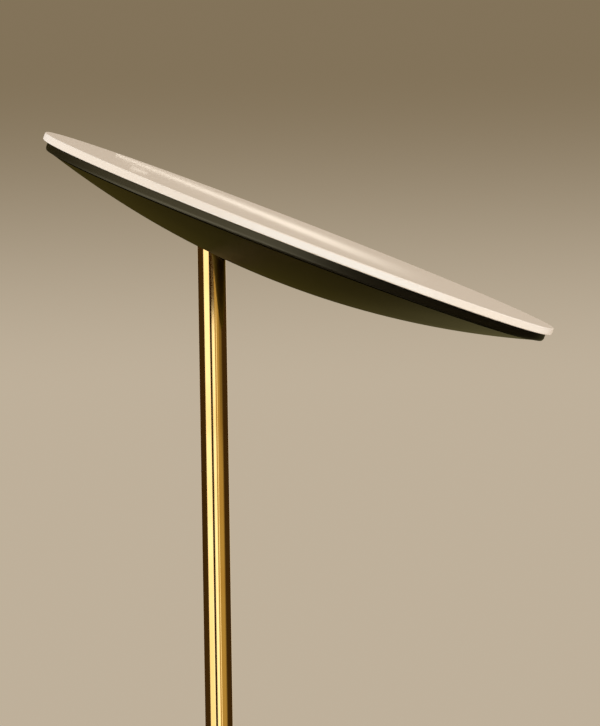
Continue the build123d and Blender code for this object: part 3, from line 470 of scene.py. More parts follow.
@dataclass(frozen=True)
class Board(Finish):
    """Circuit board: solder mask with raised tracks."""

    mask: Colour
    track: Colour
    pitch: float = 0.0025
    wander: float = 6.0
    track_start: float = 0.62
    track_full: float = 0.68
    track_height: float = 0.00003
    weave_size: float = 0.0006
    roughness: float = 0.38
    weave_roughness: float = 0.1

    def paint(self, tree: MaterialTree) -> None:
        """Build the mask, the tracks and their relief.

        Args:
            tree: the material's tree.
        """
        sockets = {
            "Vector": tree.place(),
            "Scale": 0.5 / self.pitch,
            "Distortion": self.wander,
            "Detail": 0.0,
        }
        bands = tree.read("ShaderNodeTexWave", sockets, wave_type="BANDS", bands_direction="DIAGONAL")
        tracks = tree.step(bands, self.track_start, self.track_full)
        weave = tree.pattern(Texture.CELLS, self.weave_size)
        tree.surface({
            "Base Color": tree.mix(tracks, self.mask, self.track),
            "Roughness": self.roughness + self.weave_roughness * weave,
            "Normal": tree.bump(tracks, self.track_height),
        })


class Finishes:
    """The lamp's finishes, by the part that they cover."""

    POLE_BRASS = Brass("brass_drawn_tube", Grain.DRAWN)
    TURNED_BRASS = Brass("brass_turned", Grain.TURNED)
    LACQUER = Lacquer("lacquer_black")
    OPAL = Opal("acrylic_opal")
    BLACK_PLASTIC = Grained(
        "plastic_black", (0.024, 0.023, 0.022), (0.014, 0.013, 0.012), 0.40, 0.0004, 0.00001
    )
    WHITE_PLASTIC = Grained("plastic_white", (0.82, 0.81, 0.78), (0.74, 0.73, 0.69), 0.42, 0.0005, 0.00001)
    ZINC = Grained(
        "steel_zinc", (0.68, 0.68, 0.70), (0.50, 0.51, 0.54), 0.28, 0.0012, 0.000006, Texture.CELLS, 1.0
    )
    ALUMINIUM = Grained(
        "aluminium_mill", (0.80, 0.80, 0.81), (0.66, 0.66, 0.68), 0.30, 0.0006, 0.000005, Texture.CLOUDS, 1.0,
        (0.03, 1.0, 1.0),
    )
    IRON = Grained("iron_cast", (0.13, 0.125, 0.12), (0.06, 0.058, 0.055), 0.62, 0.0018, 0.0003)
    PAD = Grained(
        "rubber_pad", (0.035, 0.034, 0.033), (0.016, 0.016, 0.016), 0.75, 0.0009, 0.00015, Texture.CELLS
    )
    SHEATH = Grained("sheath_black", (0.045, 0.044, 0.043), (0.028, 0.027, 0.027), 0.5, 0.0008, 0.00001)
    FIBRE = Grained("fibre_brown", (0.23, 0.11, 0.05), (0.12, 0.055, 0.025), 0.7, 0.0005, 0.00005)
    PHOSPHOR = Grained("phosphor_yellow", (0.92, 0.76, 0.24), (0.84, 0.62, 0.14), 0.45, 0.0003, 0.00001)
    GREEN_BOARD = Board("board_green", (0.02, 0.13, 0.055), (0.03, 0.20, 0.09))
    WHITE_BOARD = Board("board_white", (0.86, 0.86, 0.83), (0.78, 0.78, 0.75), 0.006)


@dataclass(frozen=True)
class Station:
    """A point of a turned outline, with the direction that the surface faces there."""

    radius: float
    level: float
    facing: Point


@dataclass(frozen=True)
class Step:
    """Straight step between two stations of an outline."""

    SHARE_SLACK = 0.01
    REACH = 2e-4

    start: Station
    end: Station

    def share(self, radius: float, level: float) -> float:
        """Find how far along the step a point lies.

        Args:
            radius: the point's distance from the axis.
            level: the point's level.

        Returns:
            0 at the start, and 1 at the end.
        """
        run, rise = self.end.radius - self.start.radius, self.end.level - self.start.level
        off, up = radius - self.start.radius, level - self.start.level
        return (off * run + up * rise) / (run * run + rise * rise)

    def holds(self, radius: float, level: float) -> bool:
        """Tell whether a point lies on the step, within a small reach.

        Args:
            radius: the point's distance from the axis.
            level: the point's level.

        Returns:
            Whether it does.
        """
        share = self.share(radius, level)
        run, rise = self.end.radius - self.start.radius, self.end.level - self.start.level
        off = math.hypot(radius - self.start.radius - share * run, level - self.start.level - share * rise)
        return -self.SHARE_SLACK <= share <= 1.0 + self.SHARE_SLACK and off < self.REACH

    def normal(self, spot: Vector) -> Vector:
        """Work out the normal of the turned surface on the step.

        Args:
            spot: a spot of the surface, before the piece is put in place.

        Returns:
            The normal, of length 1.
        """
        flat = math.hypot(spot.x, spot.y)
        share = min(max(self.share(flat, spot.z), 0.0), 1.0)
        (out, up), (end_out, end_up) = self.start.facing, self.end.facing
        out, up = out + share * (end_out - out), up + share * (end_up - up)
        reach = max(flat, TINY)
        return Vector((out * spot.x / reach, out * spot.y / reach, up)).normalized()


class Outline:
    """Outline of a turned piece in radii and levels, traced with the material on its left."""

    LEAST_MATCH = 0.7

    def __init__(self) -> None:
        """Start with no steps."""
        self.steps: list[Step] = []

    def _add(self, stations: Sequence[Station]) -> "Outline":
        """Add the steps from station to station and return the outline."""
        self.steps.extend(map(Step, stations, stations[1:]))
        return self

    def line(self, start: Point, end: Point, parts: int = 1) -> "Outline":
        """Add a straight stretch of equal parts.

        Args:
            start: radius and level of its start.
            end: radius and level of its end.
            parts: number of parts.

        Returns:
            The outline itself.
        """
        run, rise = end[0] - start[0], end[1] - start[1]
        length = math.hypot(run, rise)
        facing = (rise / length, -run / length)
        shares = [index / parts for index in range(parts + 1)]
        return self._add([Station(start[0] + run * s, start[1] + rise * s, facing) for s in shares])

    def path(self, *corners: Point) -> "Outline":
        """Add straight stretches from corner to corner.

        Args:
            corners: radius and level of each corner.

        Returns:
            The outline itself.
        """
        for start, end in zip(corners, corners[1:]):
            self.line(start, end)
        return self

    def arc(self, centre: Point, radius: float, start: float, end: float, parts: int) -> "Outline":
        """Add a round stretch.

        Args:
            centre: radius and level of the arc's centre.
            radius: the arc's own radius.
            start: angle of its start from the outward direction, in radians.
            end: angle of its end, larger than start where the arc bulges outwards.
            parts: number of equal parts.

        Returns:
            The outline itself.
        """
        way = 1.0 if end > start else -1.0
        stations = []
        for index in range(parts + 1):
            angle = start + (end - start) * index / parts
            along, up = math.cos(angle), math.sin(angle)
            place = (centre[0] + radius * along, centre[1] + radius * up)
            stations.append(Station(max(place[0], 0.0), place[1], (way * along, way * up)))
        return self._add(stations)

    def step_at(self, radius: float, level: float, facing: Point) -> Step | None:
        """Find the step that a point of the surface lies on.

        Args:
            radius: the point's distance from the axis.
            level: the point's level.
            facing: direction that the surface faces there.

        Returns:
            The step, or None where the point lies on no turned surface.
        """
        best, best_match = None, self.LEAST_MATCH
        for step in self.steps:
            match = step.start.facing[0] * facing[0] + step.start.facing[1] * facing[1]
            if match > best_match and step.holds(radius, level):
                best, best_match = step, match
        return best


def angles_round(count: int) -> list[float]:
    """Equal angles round a full turn."""
    return [FULL_TURN * index / count for index in range(count)]


def ring_faces(rings: int, sides: int) -> list[list[int]]:
    """Join rings of vertices that lie one above the other.

    Args:
        rings: number of rings.
        sides: number of vertices round a ring.

    Returns:
        The vertices of each face.
    """
    return [
        [low + side, low + (side + 1) % sides, low + sides + (side + 1) % sides, low + sides + side]
        for low in range(0, (rings - 1) * sides, sides)
        for side in range(sides)
    ]


def new_mesh(
    title: str, vertices: Sequence[Sequence[float]], faces: Sequence[Sequence[int]]
) -> bpy.types.Mesh:
    """Make a mesh.

    Args:
        title: the mesh's name.
        vertices: its vertices.
        faces: vertices of each face.

    Returns:
        The mesh.
    """
    mesh = bpy.data.meshes.new(title)
    mesh.from_pydata(vertices, [], faces)
    return mesh


def evaluated(item: bpy.types.Object) -> bpy.types.Mesh:
    """Plain mesh of an object with its modifiers done."""
    return bpy.data.meshes.new_from_object(item.evaluated_get(bpy.context.evaluated_depsgraph_get()))


def turned(title: str, outline: Outline, sides: int, place: Matrix = UNTURNED) -> bpy.types.Mesh:
    """Turn an outline round the Z axis, with the outline's own normals.

    Args:
        title: the mesh's name.
        outline: the outline.
        sides: number of steps round the axis.
        place: where the turned piece goes.

    Returns:
        The mesh.
    """
    turn = place.to_3x3()
    ways = [(math.cos(angle), math.sin(angle)) for angle in angles_round(sides)]
    rings: dict[Point, list[int]] = {}
    vertices: list[Vector] = []
    faces: list[list[int]] = []
    normals: list[Vector] = []

    def ring(station: Station) -> list[int]:
        """Make the vertices round the axis at a station, once.

        Args:
            station: the station.

        Returns:
            The vertices' numbers, only one of them on the axis.
        """
        key = (round(station.radius, MERGE_DIGITS), round(station.level, MERGE_DIGITS))
        if key not in rings:
            count = sides if key[0] > 0.0 else 1
            rings[key] = list(range(len(vertices), len(vertices) + count))
            for along, across in ways[:count]:
                vertices.append(place @ Vector((key[0] * along, key[0] * across, key[1])))
        return rings[key]

    for step in outline.steps:
        low, high = ring(step.start), ring(step.end)
        for side in range(sides):
            after = (side + 1) % sides
            corners = [
                (step.start, low, side),
                (step.start, low, after),
                (step.end, high, after),
                (step.end, high, side),
            ]
            if len(low) == 1:
                del corners[1]
            if len(high) == 1:
                del corners[-1]
            faces.append([ids[spot % len(ids)] for _, ids, spot in corners])
            for station, _, spot in corners:
                along, across = ways[spot]
                out, up = station.facing
                normals.append(turn @ Vector((out * along, out * across, up)))
    return with_normals(new_mesh(title, vertices, faces), normals)


def smooth(mesh: bpy.types.Mesh) -> None:
    """Shade all faces of a mesh smooth."""
    mesh.polygons.foreach_set("use_smooth", [True] * len(mesh.polygons))


def with_normals(mesh: bpy.types.Mesh, normals: Sequence[Vector]) -> bpy.types.Mesh:
    """Shade a mesh smooth with given normals.

    Args:
        mesh: the mesh.
        normals: one normal for each corner of its faces.

    Returns:
        The same mesh.
    """
    smooth(mesh)
    mesh.normals_split_custom_set(normals)
    mesh.update()
    return mesh


def with_sharp_edges(mesh: bpy.types.Mesh) -> bpy.types.Mesh:
    """Merge doubles, turn faces outwards and shade smooth between sharp edges.

    Args:
        mesh: the mesh.

    Returns:
        The same mesh.
    """
    work = bmesh.new()
    work.from_mesh(mesh)
    bmesh.ops.remove_doubles(work, verts=work.verts, dist=MERGE_DISTANCE)
    bmesh.ops.recalc_face_normals(work, faces=work.faces)
    work.to_mesh(mesh)
    work.free()
    smooth(mesh)
    mesh.set_sharp_from_angle(angle=SHARP_ANGLE)
    return mesh


def cut(mesh: bpy.types.Mesh, cutter: bpy.types.Mesh, outline: Outline, place: Matrix) -> bpy.types.Mesh:
    """Cut a hole in a turned mesh and give its surfaces their true normals again.

    Args:
        mesh: the turned mesh.
        cutter: closed mesh of the hole.
        outline: outline that the mesh was turned from.
        place: where the turned piece is.

    Returns:
        The cut mesh.
    """
    body = bpy.data.objects.new(mesh.name, mesh)
    tool = bpy.data.objects.new(cutter.name, cutter)
    for item in (body, tool):
        bpy.context.scene.collection.objects.link(item)
    modifier = body.modifiers.new("Hole", "BOOLEAN")
    modifier.operation = "DIFFERENCE"
    modifier.solver = "EXACT"
    modifier.object = tool
    result = evaluated(body)
    for item in (body, tool):
        bpy.data.objects.remove(item)
    back = place.inverted()
    turn, turn_back = place.to_3x3(), back.to_3x3()
    normals: list[Vector] = []
    for face in result.polygons:
        middle, facing = back @ face.center, turn_back @ face.normal
        flat = math.hypot(middle.x, middle.y)
        out = (facing.x * middle.x + facing.y * middle.y) / max(flat, TINY)
        step = outline.step_at(flat, middle.z, (out, facing.z))
        for index in face.vertices:
            spot = back @ result.vertices[index].co
            normals.append(face.normal if step is None else turn @ step.normal(spot))
    return with_normals(result, normals)


def joined(title: str, *meshes: bpy.types.Mesh) -> bpy.types.Mesh:
    """Join meshes into one, and keep their normals.

    Args:
        title: name of the new mesh.
        meshes: the meshes.

    Returns:
        The new mesh.
    """
    vertices: list[Vector] = []
    faces: list[list[int]] = []
    normals: list[Vector] = []
    for mesh in meshes:
        first = len(vertices)
        vertices.extend(vertex.co.copy() for vertex in mesh.vertices)
        faces.extend([first + index for index in face.vertices] for face in mesh.polygons)
        normals.extend(normal.vector.copy() for normal in mesh.corner_normals)
    return with_normals(new_mesh(title, vertices, faces), normals)


def lofted(title: str, rings: Sequence[tuple[Reach, float]], sides: int) -> bpy.types.Mesh:
    """Closed body through rings one above the other, with flat ends.

    Args:
        title: the mesh's name.
        rings: for each ring its distance from the axis at an angle, and its level.
        sides: number of points round a ring.

    Returns:
        The mesh.
    """
    angles = angles_round(sides)
    vertices = [(r(a) * math.cos(a), r(a) * math.sin(a), level) for r, level in rings for a in angles]
    last = (len(rings) - 1) * sides
    ends = list(range(sides))[::-1], list(range(last, last + sides))
    return new_mesh(title, vertices, [ends[0], *ring_faces(len(rings), sides), ends[1]])


def round_reach(radius: float) -> Reach:
    """Outline of a circle."""
    return lambda angle: radius


def hexagon_reach(flats: float) -> Reach:
    """Outline of a hexagon, from its width across flats."""
    turn = math.pi / 6
    return lambda angle: flats / 2 / math.cos((angle + turn) % (2 * turn) - turn)


def square_reach(width: float) -> Reach:
    """Outline of a square."""
    return lambda angle: width / 2 / max(abs(math.cos(angle)), abs(math.sin(angle)))


def prism(title: str, corners: Sequence[Point], low: float, high: float, place: Matrix) -> bpy.types.Mesh:
    """Upright prism with a flat outline.

    Args:
        title: the mesh's name.
        corners: the outline, anticlockwise.
        low: level of its bottom.
        high: level of its top.
        place: where the prism goes.

    Returns:
        The mesh.
    """
    count = len(corners)
    vertices = [place @ Vector((x, y, level)) for level in (low, high) for x, y in corners]
    ends = list(range(count))[::-1], list(range(count, 2 * count))
    return new_mesh(title, vertices, [*ends, *ring_faces(2, count)])


def wall_fillet(wall: float, fillet: float, centre: Point, radius: float) -> tuple[Point, float]:
    """Small round between an upright wall and a large arc above it.

    Args:
        wall: radius of the wall.
        fillet: radius of the round.
        centre: centre of the large arc.
        radius: radius of the large arc.

    Returns:
        The round's centre, and the angle on the large arc where it starts.
    """
    reach = radius - fillet
    along = wall - fillet - centre[0]
    up = math.sqrt(reach * reach - along * along)
    return (wall - fillet, centre[1] + up), math.atan2(up, along)


class GeometryTree(NodeTree):
    """A Geometry Nodes tree under construction, with named inputs."""

    def __init__(self, title: str, numbers: Sequence[str], counts: Sequence[str] = ()) -> None:
        """Make an empty tree.

        Args:
            title: the tree's name.
            numbers: names of its inputs that are sizes.
            counts: names of its inputs that are whole numbers.
        """
        super().__init__(bpy.data.node_groups.new(title, "GeometryNodeTree"))
        interface = self.tree.interface
        inputs = {"Geometry": "NodeSocketGeometry", **dict.fromkeys(numbers, "NodeSocketFloat")}
        inputs |= {**dict.fromkeys(counts, "NodeSocketInt"), "Finish": "NodeSocketMaterial"}
        for name, kind in inputs.items():
            interface.new_socket(name, in_out="INPUT", socket_type=kind)
        interface.new_socket("Geometry", in_out="OUTPUT", socket_type="NodeSocketGeometry")
        self.entry = self.node("NodeGroupInput")

    def input(self, name: str) -> Socket:
        """Input of the tree by name."""
        return Socket(self, self.entry.outputs[name])

    def upright(self, length: Socket) -> Socket:
        """Vector along Z."""
        return self.read("ShaderNodeCombineXYZ", {"Z": length})

    def end(self, geometry: Socket) -> None:
        """End the tree: make copies real, give them the finish and hand them out.

        Args:
            geometry: what the tree has made.
        """
        real = self.read("GeometryNodeRealizeInstances", {"Geometry": geometry})
        finish = self.input("Finish")
        dressed = self.read("GeometryNodeSetMaterial", {"Geometry": real, "Material": finish})
        self.node("NodeGroupOutput", {"Geometry": dressed})

    def make(
        self, title: str, data: bpy.types.ID, finish: Finish, values: Mapping[str, object]
    ) -> bpy.types.Mesh:
        """Run the tree on a mesh or curve.

        Args:
            title: name of the new mesh.
            data: mesh or curve that the tree starts from.
            finish: finish of the result.
            values: the tree's inputs by name.

        Returns:
            The result as a plain mesh.
        """
        carrier = bpy.data.objects.new(title, data)
        bpy.context.scene.collection.objects.link(carrier)
        modifier = carrier.modifiers.new(title, "NODES")
        modifier.node_group = self.tree
        names = {
            item.name: item.identifier
            for item in self.tree.interface.items_tree
            if item.item_type == "SOCKET" and item.in_out == "INPUT"
        }
        for name, value in {**values, "Finish": finish.material()}.items():
            modifier[names[name]] = value
        carrier.update_tag()
        mesh = evaluated(carrier)
        carrier.modifiers.remove(modifier)
        bpy.data.objects.remove(carrier)
        mesh.name = title
        return with_sharp_edges(mesh)


@cache
def tube_tree() -> GeometryTree:
    """Build the tree that draws a tube with chamfered ends, standing on the XY plane.

    Returns:
        The tree, made once.
    """
    sizes = ("Radius", "Wall", "Length", "Chamfer")
    tree = GeometryTree("drawn_tube", sizes, ("Sides",))
    radius, wall, length, chamfer = [tree.input(name) for name in sizes]
    sockets = {"Resolution": tree.input("Sides"), "Radius": radius - 0.5 * wall}
    path = tree.read("GeometryNodeCurvePrimitiveCircle", sockets)
    section = tree.read("GeometryNodeCurvePrimitiveQuadrilateral", {"Width": wall, "Height": length})
    sockets = {"Curve": section, "Count": 1, "Radius": chamfer}
    section = tree.read("GeometryNodeFilletCurve", sockets, mode="POLY")
    tube = tree.read("GeometryNodeCurveToMesh", {"Curve": path, "Profile Curve": section})
    lift = tree.upright(0.5 * length)
    tree.end(tree.read("GeometryNodeTransform", {"Geometry": tube, "Translation": lift}))
    return tree


@cache
def lead_tree() -> GeometryTree:
    """Build the tree that lays a round lead along a curve.

    Returns:
        The tree, made once.
    """
    tree = GeometryTree("routed_lead", ("Radius",), ("Sides",))
    sockets = {"Resolution": tree.input("Sides"), "Radius": tree.input("Radius")}
    section = tree.read("GeometryNodeCurvePrimitiveCircle", sockets)
    sockets = {"Curve": tree.input("Geometry"), "Profile Curve": section, "Fill Caps": True}
    tree.end(tree.read("GeometryNodeCurveToMesh", sockets))
    return tree


@cache
def ring_tree(rings: int) -> GeometryTree:
    """Build the tree that sets copies of a mesh in rings round the Z axis, half a step from the X axis.

    Args:
        rings: number of rings.

    Returns:
        The tree, made once for a number of rings.
    """
    sizes = ("First radius", "Ring step", "Spacing")
    tree = GeometryTree(f"copies_in_{rings}_rings", sizes)
    first, ring_step, spacing = [tree.input(name) for name in sizes]
    bundle = tree.node("GeometryNodeJoinGeometry")
    for index in range(rings):
        radius = first + float(index) * ring_step
        count = tree.read("ShaderNodeMath", {0: FULL_TURN * radius / spacing}, operation="ROUND")
        circle = tree.read("GeometryNodeMeshCircle", {"Vertices": count, "Radius": radius})
        half_step = tree.upright(math.pi / count)
        circle = tree.read("GeometryNodeTransform", {"Geometry": circle, "Rotation": half_step})
        sockets = {"Vector": tree.read("GeometryNodeInputPosition")}
        outwards = tree.read("FunctionNodeAlignRotationToVector", sockets, axis="X", pivot_axis="Z")
        sockets = {"Points": circle, "Instance": tree.input("Geometry"), "Rotation": outwards}
        copies = tree.read("GeometryNodeInstanceOnPoints", sockets)
        tree.tree.links.new(copies.output, bundle.inputs[0])
    tree.end(Socket(tree, bundle.outputs[0]))
    return tree


@cache
def row_tree() -> GeometryTree:
    """Build the tree that sets copies of a mesh in an upright row, centred on the origin.

    Returns:
        The tree, made once.
    """
    tree = GeometryTree("copies_in_a_row", ("Step",), ("Count",))
    count, step = tree.input("Count"), tree.input("Step")
    start, offset = tree.upright(-0.5 * step * (count - 1.0)), tree.upright(step)
    row = tree.read("GeometryNodeMeshLine", {"Count": count, "Start Location": start, "Offset": offset})
    sockets = {"Points": row, "Instance": tree.input("Geometry")}
    tree.end(tree.read("GeometryNodeInstanceOnPoints", sockets))
    return tree


def add_piece(
    title: str, mesh: bpy.types.Mesh, body: Body | None, finish: Finish, node: str
) -> bpy.types.Object:
    """Put a finished piece into the scene in place of a node.

    Args:
        title: the piece's name.
        mesh: its mesh, in place.
        body: body that it rides on, or None where it rides on no body.
        finish: its finish.
        node: node that it stands for.

    Returns:
        The piece.
    """
    piece = bpy.data.objects.new(title, mesh)
    bpy.context.scene.collection.objects.link(piece)
    mesh.materials.clear()
    mesh.materials.append(finish.material())
    if body is not None:
        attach(piece, body.value)
    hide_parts(node)
    LOG.info("%s: %d faces, in place of %s", title, len(mesh.polygons), node)
    return piece


def dress_nodes(finish: Finish, *nodes: str) -> None:
    """Give nodes that keep their own shape a finish.

    Args:
        finish: the finish.
        nodes: names of the nodes.
    """
    for name in nodes:
        for slot in frame["nodes"][name].material_slots:
            slot.material = finish.material()
        LOG.info("%s: own shape, %s", name, finish.title)


@dataclass
class Base:
    """Weighted round base: floor pad, domed cover, collar round the pole's foot and cord gland."""

    radius: float = 0.140
    height: float = 0.028
    rim_height: float = 0.015
    flat_radius: float = 0.020
    sheet: float = 0.0012
    edge_round: float = 0.001
    pad_thickness: float = 0.002
    pad_inset: float = 0.004
    pad_round: float = 0.0006
    nipple_hole: float = 0.0051
    collar_radius: float = 0.017
    collar_top_radius: float = 0.010
    collar_foot: float = 0.0025
    collar_height: float = 0.010
    collar_bore: float = 0.0081
    collar_round: float = 0.0004
    gland_level: float = 0.0092
    gland_bore: float = 0.003
    gland_neck: float = 0.004
    gland_flange: float = 0.0049
    gland_flange_thickness: float = 0.0014
    gland_inside_length: float = 0.005
    gland_round: float = 0.0004
    slip: float = 0.0001
    hole_start: float = 0.5
    hole_end: float = 1.2
    sides: int = 256
    collar_sides: int = 128
    gland_sides: int = 64
    hole_sides: int = 32
    flat_parts: int = 6
    dome_parts: int = 32
    sweep_parts: int = 24
    pad_round_parts: int = 4
    edge_round_parts: int = 6
    small_round_parts: int = 5

    def build(self) -> None:
        """Make the base's visible pieces."""
        stand, brass = Body.STAND, Finishes.TURNED_BRASS
        add_piece("base_pad", self.pad(), stand, Finishes.PAD, "floor_pad")
        add_piece("base_dome", self.dome(), stand, Finishes.LACQUER, "base_cover")
        add_piece("pole_collar", self.collar(), stand, brass, "base_collar")
        add_piece("cord_bush", self.gland(), stand, Finishes.BLACK_PLASTIC, "cord_gland")

    def dress(self) -> None:
        """Finish the pieces inside the base, which keep their own shape."""
        dress_nodes(Finishes.ZINC, "base_plate", "plate_screws", "base_nipple", "base_nut", "base_washer")
        dress_nodes(Finishes.IRON, "base_weight")
        dress_nodes(Finishes.WHITE_PLASTIC, "terminal_block")

    def pad(self) -> bpy.types.Mesh:
        """Make the soft disc under the base, with rounded edges.

        Returns:
            The mesh, in place.
        """
        outer, top, edge = self.radius - self.pad_inset, self.pad_thickness, self.pad_round
        outline = Outline().line((0.0, 0.0), (outer - edge, 0.0), self.flat_parts)
        outline.arc((outer - edge, edge), edge, -QUARTER, 0.0, self.pad_round_parts)
        outline.line((outer, edge), (outer, top - edge))
        outline.arc((outer - edge, top - edge), edge, 0.0, QUARTER, self.pad_round_parts)
        outline.line((outer - edge, top), (0.0, top), self.flat_parts)
        return turned("base_pad", outline, self.sides)

    def dome(self) -> bpy.types.Mesh:
        """Make the domed sheet cover, with holes for the nipple and the gland.

        Returns:
            The mesh, in place.
        """
        flat, top = self.flat_radius, self.height
        run, drop = self.radius - flat, top - self.rim_height
        arc_radius = (run * run + drop * drop) / (2 * drop)
        centre = (flat, top - arc_radius)
        bottom, inner = self.pad_thickness, self.radius - self.sheet
        edge_centre, edge_angle = wall_fillet(self.radius, self.edge_round, centre, arc_radius)
        inner_radius = arc_radius - self.sheet
        inner_angle = math.acos((inner - flat) / inner_radius)
        inner_top = centre[1] + inner_radius * math.sin(inner_angle)
        outline = Outline().path((inner, bottom), (self.radius, bottom), (self.radius, edge_centre[1]))
        outline.arc(edge_centre, self.edge_round, 0.0, edge_angle, self.edge_round_parts)
        outline.arc(centre, arc_radius, edge_angle, QUARTER, self.dome_parts)
        hole, under = self.nipple_hole, top - self.sheet
        outline.path((flat, top), (hole, top), (hole, under), (flat, under))
        outline.arc(centre, inner_radius, QUARTER, inner_angle, self.dome_parts)
        outline.line((inner, inner_top), (inner, bottom))
        neck = self.gland_neck + self.slip
        angles = angles_round(self.hole_sides)
        rim_hole = [(neck * math.cos(angle), neck * math.sin(angle)) for angle in angles]
        ends = self.hole_start * self.radius, self.hole_end * self.radius
        tool = prism("gland_hole", rim_hole, *ends, self.gland_place())
        return cut(turned("base_dome", outline, self.sides), tool, outline, UNTURNED)

    def gland_place(self) -> Matrix:
        """Frame on the gland's axis, which points to the back."""
        return Matrix.Translation((0.0, 0.0, self.gland_level)) @ Matrix.Rotation(-QUARTER, 4, "X")

    def collar(self) -> bpy.types.Mesh:
        """Make the trumpet-shaped collar, with softened edges.

        Returns:
            The mesh, in place.
        """
        edge, bottom, bore = self.collar_round, self.height, self.collar_bore
        foot, foot_top = self.collar_radius, bottom + self.collar_foot
        neck, top = self.collar_top_radius, bottom + self.collar_height
        start = foot - edge
        run, rise = start - neck, top - edge - foot_top
        sweep = (run * run + rise * rise) / (2 * rise)
        sweep_end = math.atan2(rise - sweep, -run) - FULL_TURN
        outline = Outline().path((bore, bottom), (foot, bottom), (foot, foot_top - edge))
        outline.arc((start, foot_top - edge), edge, 0.0, QUARTER, self.small_round_parts)
        outline.arc((start, foot_top + sweep), sweep, -QUARTER, sweep_end, self.sweep_parts)
        outline.arc((neck - edge, top - edge), edge, 0.0, QUARTER, self.small_round_parts)
        outline.path((neck - edge, top), (bore, top), (bore, bottom))
        return turned("pole_collar", outline, self.collar_sides)

    def gland(self) -> bpy.types.Mesh:
        """Make the bush with a flange on each side of the cover's rim.

        Returns:
            The mesh, in place.
        """
        bore, neck, flange, edge = self.gland_bore, self.gland_neck, self.gland_flange, self.gland_round
        seat = math.sqrt((self.radius - self.sheet) ** 2 - flange**2) - self.slip
        back, front = seat - self.gland_inside_length, self.radius + self.gland_flange_thickness
        clip = seat - self.gland_flange_thickness
        outline = Outline().path(
            (bore, back), (neck, back), (neck, clip), (flange, clip), (flange, seat), (neck, seat),
            (neck, self.radius), (flange, self.radius), (flange, front - edge),
        )
        outline.arc((flange - edge, front - edge), edge, 0.0, QUARTER, self.small_round_parts)
        outline.line((flange - edge, front), (bore + edge, front))
        outline.arc((bore + edge, front - edge), edge, QUARTER, math.pi, self.small_round_parts)
        outline.line((bore, front - edge), (bore, back))
        return turned("cord_bush", outline, self.gland_sides, self.gland_place())


@dataclass
class Pole:
    """Three brass tubes one above the other, with what is inside them."""

    radius: float = 0.008
    wall: float = 0.0012
    chamfer: float = 0.0002
    sides: int = 128

    def build(self) -> None:
        """Draw the tubes between the levels that the frame gives."""
        sizes = {"Radius": self.radius, "Wall": self.wall, "Chamfer": self.chamfer, "Sides": self.sides}
        for node in ("lower_pole", "middle_pole", "upper_pole"):
            low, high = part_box(node)
            title = f"{node}_tube"
            values = {**sizes, "Length": high.z - low.z}
            mesh = tube_tree().make(title, bpy.data.meshes.new(title), Finishes.POLE_BRASS, values)
            mesh.transform(Matrix.Translation((0.0, 0.0, low.z)))
            add_piece(title, mesh, Body.STAND, Finishes.POLE_BRASS, node)

    def dress(self) -> None:
        """Finish the pieces inside the tubes."""
        dress_nodes(Finishes.ZINC, "pole_coupler", "pole_insert")
        dress_nodes(Finishes.SHEATH, "pole_lead")


